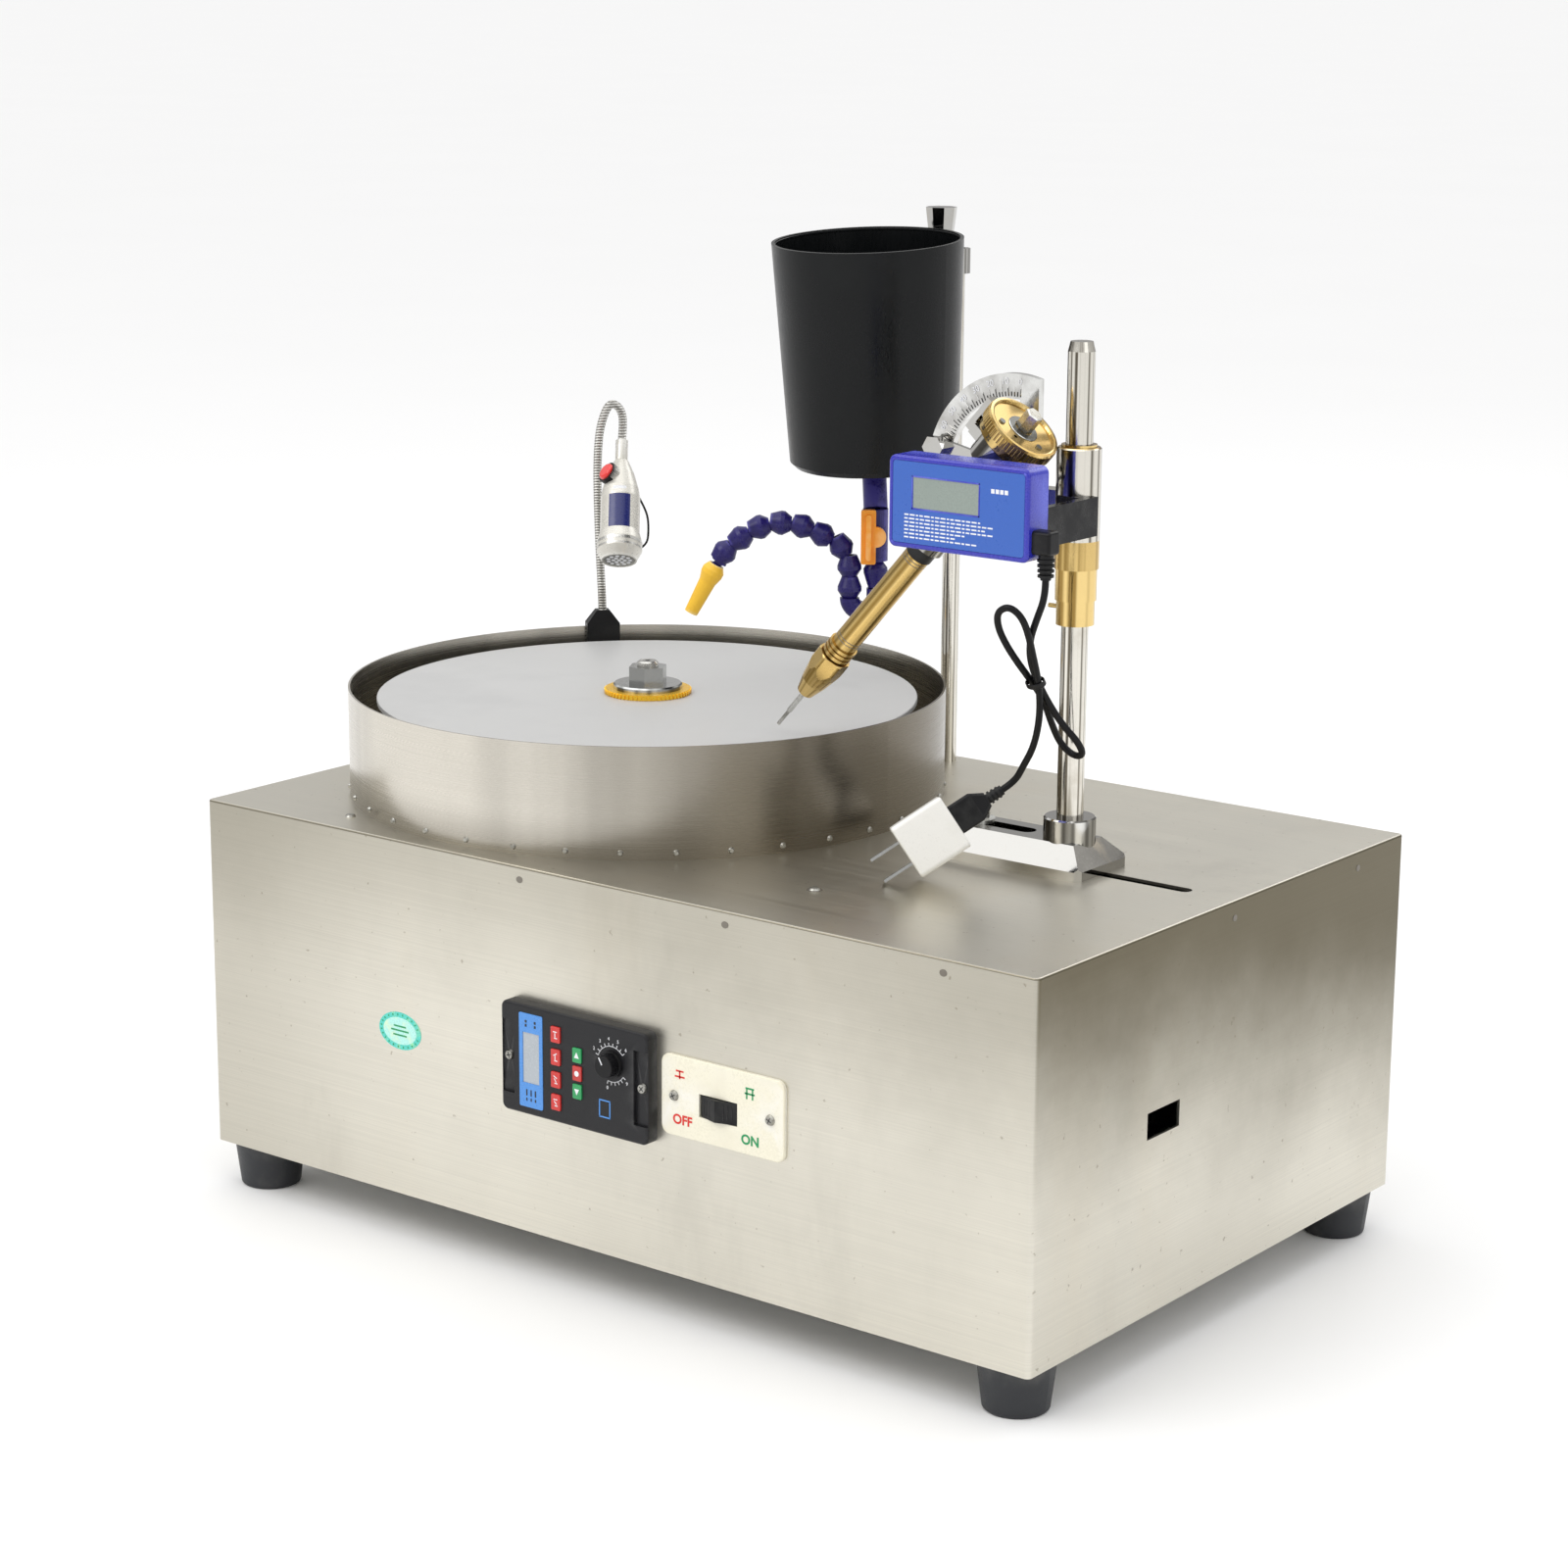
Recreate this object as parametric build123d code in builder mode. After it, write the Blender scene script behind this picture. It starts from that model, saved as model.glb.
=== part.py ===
from build123d import *
from math import cos, radians, sin, tan
import os

os.makedirs("parts", exist_ok=True)

# ---------------------------------------------------------------- driving dimensions (mm)
# Frame: origin on the bench under the centre of the cabinet, +X right along the front,
# +Y to the back, +Z up.
FOOT_HEIGHT = 26
CABINET_WIDTH = 558
CABINET_DEPTH = 355
CABINET_HEIGHT = 200
SHEET = 1.5
FRONT = -CABINET_DEPTH / 2
BACK = CABINET_DEPTH / 2
DECK = FOOT_HEIGHT + CABINET_HEIGHT
PANEL_PROTRUSION = 15

SPINDLE_X, SPINDLE_Y = -109, 3
RING_RADIUS = 168.4
RING_WALL = 1.2
RING_HEIGHT = 61
LAP_RADIUS = 152.5
LAP_TOP = DECK + 54.3
SHAFT_RADIUS = 7.5
RUNNING_FIT = 0.05

MAST_X, MAST_Y = 177.5, 2
MAST_RADIUS = 7
MAST_TOP = 500
BAR_LEFT, BAR_RIGHT = 93, 199
BAR_HALF_WIDTH = 23.5
BAR_HEIGHT = 16
SLOT_LEFT, SLOT_RIGHT = 88, 252
SLOT_WIDTH = 8
BOLT_X = 120
COLLAR_BOTTOM = 355.2
SLEEVE_BOTTOM = 399
SLEEVE_TOP = 446.7
SLEEVE_RADIUS = 11.5

QUILL_Y = -31
TIP_X, TIP_Z = 11.2, 285.1
QUILL_ANGLE = 48.335
PIVOT_X, PIVOT_Z = 144.4, 428.7
PIVOT_RADIUS = 4
PLATE_FRONT = -8.5
PLATE_THICKNESS = 4.5
ARC_RADIUS = 53.35

GAUGE_LEFT, GAUGE_RIGHT = 110.3, 195.5
GAUGE_BOTTOM, GAUGE_TOP = 397.8, 444.6
GAUGE_FRONT, GAUGE_BACK = -69.5, -52.5

CONTROLLER_X, CONTROLLER_Z = -2, 125
CONTROLLER_WIDTH, CONTROLLER_HEIGHT = 100, 60
BEZEL_DEPTH = 8
KNOB_X, KNOB_Z = 24.3, 134.6
SWITCH_X, SWITCH_Z = 91.9, 124
SWITCH_WIDTH, SWITCH_HEIGHT = 79.3, 43
ROCKER_X, ROCKER_Z = 89.5, 122

POST_X, POST_Y = -14.4, 164.3
POST_RADIUS = 5
POST_TOP = 525
TANK_X, TANK_Y, TANK_Z = -27.9, 105.9, 407.4
TANK_LEAN = 3.9
TANK_HEIGHT = 126
TANK_TOP_RADIUS, TANK_BOTTOM_RADIUS = 53.7, 47.5
TANK_WALL = 2

HOSE_PITCH = 12.4
HOSE_RADIUS = 6.9
ELBOW_Z = 331
DOWN_LEG = (-21.8, 101.2)
UP_LEG = (-33.8, 92.0)

CORD_DIAMETER = 3.6

# Level directions of the lamp, the valve and the hose arch: SIDE runs along them, OUT faces the user.
SIDE = (0.79, 0.613, 0)
OUT = (0.613, -0.79, 0)


def finish(builder, label):
    """Label a finished sub-part and write its STEP file."""
    builder.part.label = label
    export_step(builder.part, f"parts/{label}.step")


def front_plane(x, z, y=FRONT):
    """A plane on the front panel whose normal points out towards the user."""
    return Plane(origin=(x, y, z), x_dir=(1, 0, 0), z_dir=(0, -1, 0))


def upright(x, y, z):
    """A level plane with its normal up."""
    return Plane(origin=(x, y, z), x_dir=(1, 0, 0), z_dir=(0, 0, 1))


quill_dir = (cos(radians(QUILL_ANGLE)), 0, sin(radians(QUILL_ANGLE)))


def quill_plane(distance):
    """A plane square to the quill, at a distance up its axis from the dop's tip."""
    origin = (TIP_X + distance * quill_dir[0], QUILL_Y, TIP_Z + distance * quill_dir[2])
    return Plane(origin=origin, x_dir=(0, 1, 0), z_dir=quill_dir)


# The quill's lengthwise section plane: sketch x is the radius, sketch y runs up the axis.
quill_section = Plane(origin=(TIP_X, QUILL_Y, TIP_Z), x_dir=(0, 1, 0),
                      z_dir=(sin(radians(QUILL_ANGLE)), 0, -cos(radians(QUILL_ANGLE))))
quill_axis = Axis((TIP_X, QUILL_Y, TIP_Z), quill_dir)


# ================================================================= cabinet
with BuildPart() as cabinet:
    with BuildSketch(Plane.XY.offset(FOOT_HEIGHT)):
        RectangleRounded(CABINET_WIDTH, CABINET_DEPTH, 3)
    extrude(amount=CABINET_HEIGHT)
    fillet(cabinet.faces().sort_by(Axis.Z)[-1].edges(), 1.2)
    with BuildSketch(Plane.XY.offset(FOOT_HEIGHT)):
        RectangleRounded(CABINET_WIDTH - 2 * SHEET, CABINET_DEPTH - 2 * SHEET, 1.5)
    extrude(amount=CABINET_HEIGHT - SHEET, mode=Mode.SUBTRACT)
    # folded hem round the bottom
    with BuildSketch(Plane.XY.offset(FOOT_HEIGHT)):
        RectangleRounded(CABINET_WIDTH - SHEET, CABINET_DEPTH - SHEET, 2)
        RectangleRounded(CABINET_WIDTH - 30, CABINET_DEPTH - 30, 2, mode=Mode.SUBTRACT)
    extrude(amount=SHEET)
    # deck: spindle hole, mast slot, drain hole, hole for the water post's stud
    with BuildSketch(Plane.XY.offset(DECK + 1)):
        with Locations((SPINDLE_X, SPINDLE_Y)):
            Circle(22)
        with Locations(((SLOT_LEFT + SLOT_RIGHT) / 2, MAST_Y)):
            SlotOverall(SLOT_RIGHT - SLOT_LEFT, SLOT_WIDTH)
        with Locations((SPINDLE_X, SPINDLE_Y + 140)):
            Circle(6)
        with Locations((POST_X, POST_Y)):
            Circle(3)
    extrude(amount=-5, mode=Mode.SUBTRACT)
    # front panel: controller and switch cut-outs
    with BuildSketch(front_plane(0, 0, FRONT - 1)):
        with Locations((CONTROLLER_X, CONTROLLER_Z)):
            Rectangle(76, 54)
        with Locations((ROCKER_X, ROCKER_Z)):
            Rectangle(27, 15)
    extrude(amount=-5, mode=Mode.SUBTRACT)
    # right side cut-out
    with BuildSketch(Plane(origin=(CABINET_WIDTH / 2 + 1, -62, FOOT_HEIGHT + 100.5),
                           x_dir=(0, 1, 0), z_dir=(1, 0, 0))):
        Rectangle(30, 14)
    extrude(amount=-5, mode=Mode.SUBTRACT)
    # back: drain spout and mains gland holes
    with BuildSketch(Plane(origin=(0, BACK + 1, 0), x_dir=(-1, 0, 0), z_dir=(0, 1, 0))):
        with Locations((-SPINDLE_X, 190)):
            Circle(8)
        with Locations((-210, 70)):
            Circle(8)
    extrude(amount=-5, mode=Mode.SUBTRACT)
    # fixing holes of the panel screws
    with BuildSketch(front_plane(0, 0, FRONT - 1)):
        with Locations((CONTROLLER_X - 45.4, CONTROLLER_Z), (CONTROLLER_X + 45.4, CONTROLLER_Z),
                       (SWITCH_X - 31, SWITCH_Z), (SWITCH_X + 31, SWITCH_Z)):
            Circle(1.6)
    extrude(amount=-5, mode=Mode.SUBTRACT)
finish(cabinet, "cabinet")

FLOOR_Z = FOOT_HEIGHT + SHEET
with BuildPart() as bottom_plate:
    with BuildSketch(Plane.XY.offset(FLOOR_Z)):
        RectangleRounded(CABINET_WIDTH - 5, CABINET_DEPTH - 5, 2)
    extrude(amount=SHEET)
finish(bottom_plate, "bottom_plate")

foot_spots = [(sx * (CABINET_WIDTH / 2 - 21), sy * (CABINET_DEPTH / 2 - 21))
              for sx in (-1, 1) for sy in (-1, 1)]
with BuildPart() as rubber_feet:
    with BuildSketch(Plane.XY):
        with Locations(*foot_spots):
            Circle(16.8)
    extrude(amount=FOOT_HEIGHT, taper=-7.0)
    fillet(rubber_feet.faces().group_by(Axis.Z)[0].edges(), 2)
    with Locations(*[(x, y, 0) for x, y in foot_spots]):
        CounterBoreHole(3, 7, 12, FOOT_HEIGHT + 1)
finish(rubber_feet, "rubber_feet")

# ================================================================= splash ring
with BuildPart() as splash_ring:
    with BuildSketch(upright(SPINDLE_X, SPINDLE_Y, DECK)):
        Circle(RING_RADIUS)
        Circle(RING_RADIUS - RING_WALL, mode=Mode.SUBTRACT)
    extrude(amount=RING_HEIGHT)
    # inner flange the rivets hold to the deck
    with BuildSketch(upright(SPINDLE_X, SPINDLE_Y, DECK)):
        Circle(RING_RADIUS - RING_WALL / 2)
        Circle(RING_RADIUS - 8, mode=Mode.SUBTRACT)
        with Locations((0, 140)):
            Circle(6, mode=Mode.SUBTRACT)
    extrude(amount=RING_WALL)
finish(splash_ring, "splash_ring")

deck_screws = [(101.7, -116.9, DECK), (-189, -155.5, DECK)]
panel_screws = [(CONTROLLER_X - 45.4, FRONT - 6, CONTROLLER_Z),
                (CONTROLLER_X + 45.4, FRONT - 6, CONTROLLER_Z),
                (SWITCH_X - 31, FRONT - 2, SWITCH_Z), (SWITCH_X + 31, FRONT - 2, SWITCH_Z)]
RIVETS = 36
with BuildPart() as fasteners:
    # round-headed panel screws
    for x, y, z in panel_screws:
        with BuildSketch(front_plane(x, z, y)):
            Circle(2.9)
        extrude(amount=1.4, taper=25)
        with BuildSketch(front_plane(x, z, y)):
            Circle(1.5)
        extrude(amount=-(FRONT - y) - 8)
    # deck screws
    for x, y, z in deck_screws:
        with BuildSketch(upright(x, y, z)):
            Circle(3)
        extrude(amount=1.2, taper=30)
    # foot screws up into the bottom plate
    with BuildSketch(Plane.XY.offset(12)):
        with Locations(*foot_spots):
            Circle(5.5)
    extrude(amount=3)
    with BuildSketch(Plane.XY.offset(15)):
        with Locations(*foot_spots):
            Circle(2.9)
    extrude(amount=FOOT_HEIGHT - 15)
    # rivet row round the foot of the splash ring
    for i in range(RIVETS):
        angle = radians(360 / RIVETS * i + 5)
        out = (cos(angle), sin(angle), 0)
        spot = (SPINDLE_X + RING_RADIUS * out[0], SPINDLE_Y + RING_RADIUS * out[1], DECK + 4)
        with BuildSketch(Plane(origin=spot, x_dir=(-out[1], out[0], 0), z_dir=out)):
            Circle(1.7)
        extrude(amount=1.0, taper=30)
finish(fasteners, "fasteners")

# ================================================================= drain and mains gland
with BuildPart() as drain_pipe:
    with BuildLine() as drain_path:
        FilletPolyline((SPINDLE_X, SPINDLE_Y + 140, DECK - SHEET), (SPINDLE_X, SPINDLE_Y + 140, 190),
                       (SPINDLE_X, BACK + PANEL_PROTRUSION, 190), radius=12)
    with BuildSketch(drain_path.line ^ 0):
        Circle(7.8)
        Circle(5.6, mode=Mode.SUBTRACT)
    sweep(path=drain_path.line)
finish(drain_pipe, "drain_pipe")

back_plane = Plane(origin=(210, BACK, 70), x_dir=(-1, 0, 0), z_dir=(0, 1, 0))
with BuildPart() as mains_gland:
    with BuildSketch(back_plane.offset(-12)):
        Circle(7.8)
    extrude(amount=12)
    with BuildSketch(back_plane):
        RegularPolygon(10.5, 6)
    extrude(amount=4)
    with BuildSketch(back_plane.offset(4)):
        Circle(8)
    extrude(amount=9, taper=12)
    with BuildSketch(back_plane.offset(13)):
        Circle(3.6)
    extrude(amount=-25, mode=Mode.SUBTRACT)
finish(mains_gland, "mains_gland")

# ================================================================= drive
MOTOR_TOP = 150
with BuildPart() as motor_body:
    with BuildSketch(upright(SPINDLE_X, SPINDLE_Y, MOTOR_TOP - 8)):
        RectangleRounded(90, 90, 6)
    extrude(amount=8)
    with BuildSketch(upright(SPINDLE_X, SPINDLE_Y, MOTOR_TOP - 98)):
        Circle(42)
    extrude(amount=90)
    # cooling ribs
    with BuildSketch(upright(SPINDLE_X, SPINDLE_Y, MOTOR_TOP - 90)):
        with PolarLocations(43, 12):
            Rectangle(4, 2)
    extrude(amount=82)
    # fan cover
    with BuildSketch(upright(SPINDLE_X, SPINDLE_Y, MOTOR_TOP - 114)):
        Circle(43)
    extrude(amount=16)
    fillet(motor_body.faces().sort_by(Axis.Z)[0].edges(), 5)
    with BuildSketch(upright(SPINDLE_X, SPINDLE_Y, MOTOR_TOP)):
        Circle(SHAFT_RADIUS + RUNNING_FIT)
    extrude(amount=-30, mode=Mode.SUBTRACT)
finish(motor_body, "motor_body")

UNDER_DECK = DECK - SHEET
with BuildPart() as bearing_housing:
    with BuildSketch(upright(SPINDLE_X, SPINDLE_Y, UNDER_DECK - 8)):
        RectangleRounded(112, 112, 8)
    extrude(amount=8)
    with BuildSketch(upright(SPINDLE_X, SPINDLE_Y, 186)):
        Circle(27)
    extrude(amount=UNDER_DECK - 186)
    with BuildSketch(upright(SPINDLE_X, SPINDLE_Y, UNDER_DECK)):
        Circle(21.7)
    extrude(amount=18)
    # pillars that carry the motor
    with BuildSketch(upright(SPINDLE_X, SPINDLE_Y, MOTOR_TOP)):
        with GridLocations(78, 78, 2, 2):
            Circle(5)
    extrude(amount=UNDER_DECK - 8 - MOTOR_TOP)
    with BuildSketch(upright(SPINDLE_X, SPINDLE_Y, UNDER_DECK + 18)):
        Circle(16)
    extrude(amount=-11, mode=Mode.SUBTRACT)
    with BuildSketch(upright(SPINDLE_X, SPINDLE_Y, 186)):
        Circle(16)
    extrude(amount=11, mode=Mode.SUBTRACT)
    with BuildSketch(upright(SPINDLE_X, SPINDLE_Y, 180)):
        Circle(12)
    extrude(amount=70, mode=Mode.SUBTRACT)
    # the two ball bearings in their seats
    with BuildSketch(upright(SPINDLE_X, SPINDLE_Y, UNDER_DECK + 8)):
        Circle(16)
        Circle(SHAFT_RADIUS + RUNNING_FIT, mode=Mode.SUBTRACT)
    extrude(amount=9)
    with BuildSketch(upright(SPINDLE_X, SPINDLE_Y, 187)):
        Circle(16)
        Circle(SHAFT_RADIUS + RUNNING_FIT, mode=Mode.SUBTRACT)
    extrude(amount=9)
finish(bearing_housing, "bearing_housing")

PLATTER_BOTTOM = LAP_TOP - 13
FLANGE_TOP = LAP_TOP + 3
WASHER_TOP = FLANGE_TOP + 3
NUT_TOP = WASHER_TOP + 9.5
with BuildPart() as spindle_shaft:
    with BuildSketch(upright(SPINDLE_X, SPINDLE_Y, MOTOR_TOP - 28)):
        Circle(SHAFT_RADIUS)
    extrude(amount=PLATTER_BOTTOM - MOTOR_TOP + 28)
    with BuildSketch(upright(SPINDLE_X, SPINDLE_Y, PLATTER_BOTTOM)):
        Circle(6)
    extrude(amount=NUT_TOP + 3 - PLATTER_BOTTOM)
    chamfer(spindle_shaft.edges().sort_by(Axis.Z)[-1], 1)
    # hub the backing plate sits on
    with BuildSketch(upright(SPINDLE_X, SPINDLE_Y, UNDER_DECK + 20)):
        Circle(24)
    extrude(amount=PLATTER_BOTTOM - UNDER_DECK - 20)
    # coupling to the motor shaft
    with BuildSketch(upright(SPINDLE_X, SPINDLE_Y, MOTOR_TOP + 4)):
        Circle(15)
    extrude(amount=28)
    with BuildSketch(upright(SPINDLE_X, SPINDLE_Y, NUT_TOP + 3)):
        Circle(1.5)
    extrude(amount=-4, mode=Mode.SUBTRACT)
finish(spindle_shaft, "spindle_shaft")

with BuildPart() as backing_plate:
    with BuildSketch(upright(SPINDLE_X, SPINDLE_Y, PLATTER_BOTTOM)):
        Circle(LAP_RADIUS - 6)
        Circle(6, mode=Mode.SUBTRACT)
    extrude(amount=10)
finish(backing_plate, "backing_plate")

with BuildPart() as lap_disc:
    with BuildSketch(upright(SPINDLE_X, SPINDLE_Y, LAP_TOP - 3)):
        Circle(LAP_RADIUS)
        Circle(6, mode=Mode.SUBTRACT)
    extrude(amount=3)
    fillet(lap_disc.edges().filter_by(GeomType.CIRCLE).sort_by(SortBy.RADIUS)[-2:], 0.6)
finish(lap_disc, "lap_disc")

with BuildPart() as brass_flange:
    with BuildSketch(upright(SPINDLE_X, SPINDLE_Y, LAP_TOP)):
        Circle(24)
        Circle(6, mode=Mode.SUBTRACT)
    extrude(amount=3)
finish(brass_flange, "brass_flange")

with BuildPart() as spindle_nut:
    with BuildSketch(upright(SPINDLE_X, SPINDLE_Y, FLANGE_TOP)):
        Circle(19.5)
        Circle(6, mode=Mode.SUBTRACT)
    extrude(amount=3)
    chamfer(spindle_nut.edges().group_by(Axis.Z)[-1].sort_by(SortBy.RADIUS)[-1], 0.8)
    with BuildSketch(upright(SPINDLE_X, SPINDLE_Y, WASHER_TOP)):
        RegularPolygon(11.2, 6)
        Circle(6, mode=Mode.SUBTRACT)
    extrude(amount=9.5)
finish(spindle_nut, "spindle_nut")

# ================================================================= speed controller
RED_KEY_X = -13.5
RED_KEY_TOP = 143
RED_KEY_PITCH = 12.25
SMALL_KEY_X = 1.2
SMALL_KEY_TOP = 134.7
SMALL_KEY_PITCH = 9.8
BEZEL_FRONT = FRONT - BEZEL_DEPTH
KEY_RISE = 0.9
KEY_DEPTH = 2.4
KEY_GAP = 0.15
red_keys = [("red_key_%d" % (i + 1), RED_KEY_X, RED_KEY_TOP - i * RED_KEY_PITCH, 6.3, 8.7)
            for i in range(4)]
small_keys = [(name, SMALL_KEY_X, SMALL_KEY_TOP - i * SMALL_KEY_PITCH, 6, 8)
              for i, name in enumerate(("key_up", "key_stop", "key_down"))]
keys = red_keys + small_keys

with BuildPart() as speed_controller:
    with BuildSketch(front_plane(CONTROLLER_X, CONTROLLER_Z)):
        RectangleRounded(CONTROLLER_WIDTH, CONTROLLER_HEIGHT, 4)
    extrude(amount=BEZEL_DEPTH)
    fillet(speed_controller.faces().sort_by(Axis.Y)[0].edges(), 1.5)
    # sunken end caps round the screws
    with BuildSketch(front_plane(CONTROLLER_X, CONTROLLER_Z, BEZEL_FRONT)):
        with Locations((-45.4, 0), (45.4, 0)):
            Rectangle(9, 40)
    extrude(amount=-2, mode=Mode.SUBTRACT)
    # body behind the panel
    with BuildSketch(front_plane(CONTROLLER_X, CONTROLLER_Z)):
        Rectangle(75, 53)
    extrude(amount=-70)
    # key pockets, display pocket, knob shaft hole, screw holes
    with BuildSketch(front_plane(0, 0, BEZEL_FRONT)):
        for name, x, z, width, height in keys:
            with Locations((x, z)):
                Rectangle(width + 2 * KEY_GAP, height + 2 * KEY_GAP)
    extrude(amount=-(KEY_DEPTH + 1.2), mode=Mode.SUBTRACT)
    with BuildSketch(front_plane(0, 0, BEZEL_FRONT)):
        with Locations((-31, CONTROLLER_Z)):
            Rectangle(16.4, 51.4)
    extrude(amount=-1, mode=Mode.SUBTRACT)
    with BuildSketch(front_plane(KNOB_X, KNOB_Z, BEZEL_FRONT)):
        Circle(3 + RUNNING_FIT)
    extrude(amount=-12, mode=Mode.SUBTRACT)
    with BuildSketch(front_plane(CONTROLLER_X, CONTROLLER_Z, BEZEL_FRONT)):
        with Locations((-45.4, 0), (45.4, 0)):
            Circle(1.5)
    extrude(amount=-BEZEL_DEPTH, mode=Mode.SUBTRACT)
finish(speed_controller, "speed_controller")

with BuildPart() as display_strip:
    with BuildSketch(front_plane(-31, CONTROLLER_Z, BEZEL_FRONT + 1)):
        RectangleRounded(16.2, 51.2, 1)
        with Locations((0, 1.4)):
            Rectangle(11.4, 27.6, mode=Mode.SUBTRACT)
    extrude(amount=1.2)
    with BuildSketch(front_plane(-31, CONTROLLER_Z, BEZEL_FRONT + 1)):
        with Locations((0, 1.4)):
            Rectangle(11.4, 27.6)
    extrude(amount=0.8)
finish(display_strip, "display_strip")

for key_name, key_x, key_z, key_width, key_height in keys:
    with BuildPart() as key:
        with BuildSketch(front_plane(key_x, key_z, BEZEL_FRONT + KEY_DEPTH)):
            RectangleRounded(key_width, key_height, 0.8)
        extrude(amount=KEY_DEPTH + KEY_RISE)
        fillet(key.faces().sort_by(Axis.Y)[0].edges(), 0.3)
    finish(key, key_name)

with BuildPart() as speed_knob:
    with BuildSketch(front_plane(KNOB_X, KNOB_Z, BEZEL_FRONT - 0.3)):
        Circle(7.2)
    extrude(amount=1.7)
    with BuildSketch(front_plane(KNOB_X, KNOB_Z, BEZEL_FRONT - 2)):
        Circle(6.1)
    extrude(amount=5, taper=3)
    fillet(speed_knob.faces().sort_by(Axis.Y)[0].edges(), 0.5)
    with BuildSketch(front_plane(KNOB_X, KNOB_Z, BEZEL_FRONT - 2.2)):
        with PolarLocations(6.2, 24):
            Circle(0.35)
    extrude(amount=4, mode=Mode.SUBTRACT)
    with BuildSketch(front_plane(KNOB_X, KNOB_Z, BEZEL_FRONT - 7)):
        with PolarLocations(3.4, 1, start_angle=120):
            Rectangle(4, 0.8)
    extrude(amount=-0.5, mode=Mode.SUBTRACT)
    with BuildSketch(front_plane(KNOB_X, KNOB_Z, BEZEL_FRONT - 0.3)):
        Circle(3)
    extrude(amount=-11)
finish(speed_knob, "speed_knob")

# ================================================================= switch
ROCKER_WIDTH, ROCKER_HEIGHT = 23.5, 11.5
with BuildPart() as switch_plate:
    with BuildSketch(front_plane(SWITCH_X, SWITCH_Z)):
        RectangleRounded(SWITCH_WIDTH, SWITCH_HEIGHT, 5)
    extrude(amount=2)
    fillet(switch_plate.faces().sort_by(Axis.Y)[0].edges(), 0.8)
    with BuildSketch(front_plane(ROCKER_X, ROCKER_Z, FRONT - 2)):
        Rectangle(ROCKER_WIDTH + 1.2, ROCKER_HEIGHT + 0.8)
    extrude(amount=-2, mode=Mode.SUBTRACT)
    # switch body behind the panel, open towards the rocker
    with BuildSketch(front_plane(ROCKER_X, ROCKER_Z)):
        Rectangle(ROCKER_WIDTH + 3, ROCKER_HEIGHT + 3)
    extrude(amount=-22)
    with BuildSketch(front_plane(ROCKER_X, ROCKER_Z)):
        Rectangle(ROCKER_WIDTH + 1.2, ROCKER_HEIGHT + 0.8)
    extrude(amount=-14, mode=Mode.SUBTRACT)
    with BuildSketch(front_plane(SWITCH_X, SWITCH_Z, FRONT - 2)):
        with Locations((-31, 0), (31, 0)):
            Circle(1.5)
    extrude(amount=-2, mode=Mode.SUBTRACT)
finish(switch_plate, "switch_plate")

ROCKER_AXIS_Y = FRONT + 3
with BuildPart() as rocker:
    with BuildSketch(upright(ROCKER_X, ROCKER_AXIS_Y, ROCKER_Z - ROCKER_HEIGHT / 2)):
        with BuildLine():
            Polyline((-ROCKER_WIDTH / 2, -4.2), (0, -8.0), (ROCKER_WIDTH / 2, -4.2),
                     (ROCKER_WIDTH / 2 - 1.4, 0), (4.5, 5), (-4.5, 5), (-ROCKER_WIDTH / 2 + 1.4, 0),
                     close=True)
        make_face()
    extrude(amount=ROCKER_HEIGHT)
finish(rocker, "rocker")

# ================================================================= mast and its slotted base bar
BAR_TOP = DECK + BAR_HEIGHT
BAR_MIDDLE = (BAR_LEFT + BAR_RIGHT) / 2
BAR_LENGTH = BAR_RIGHT - BAR_LEFT
BAR_CORNER = 4.2
BOSS_RADIUS = 13.75
BAR_BAND = 5
BAR_SLOPE = BAR_HEIGHT - BAR_BAND
with BuildPart() as base_bar:
    with BuildSketch(upright(BAR_MIDDLE, MAST_Y, DECK)):
        Rectangle(BAR_LENGTH, 2 * BAR_HALF_WIDTH)
    extrude(amount=BAR_BAND)
    with BuildSketch(upright(BAR_MIDDLE, MAST_Y, DECK + BAR_BAND)):
        Rectangle(BAR_LENGTH, 2 * BAR_HALF_WIDTH)
    extrude(amount=BAR_SLOPE, taper=43)
    # corners cut off square to the deck
    with BuildSketch(upright(BAR_MIDDLE, MAST_Y, DECK)):
        with GridLocations(BAR_LENGTH, 2 * BAR_HALF_WIDTH, 2, 2):
            Rectangle(BAR_CORNER, BAR_CORNER, rotation=45)
    extrude(amount=BAR_HEIGHT, mode=Mode.SUBTRACT)
    with BuildSketch(upright(MAST_X, MAST_Y, BAR_TOP - 8)):
        Circle(BOSS_RADIUS)
    extrude(amount=20)
    chamfer(base_bar.edges().sort_by(Axis.Z)[-1], 0.8)
    with BuildSketch(upright(0, MAST_Y, BAR_TOP)):
        with Locations((130.5, 0)):
            SlotOverall(51, 10)
    extrude(amount=-BAR_HEIGHT, mode=Mode.SUBTRACT)
    with BuildSketch(upright(MAST_X, MAST_Y, DECK + 4)):
        Circle(MAST_RADIUS)
    extrude(amount=30, mode=Mode.SUBTRACT)
finish(base_bar, "base_bar")

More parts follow.
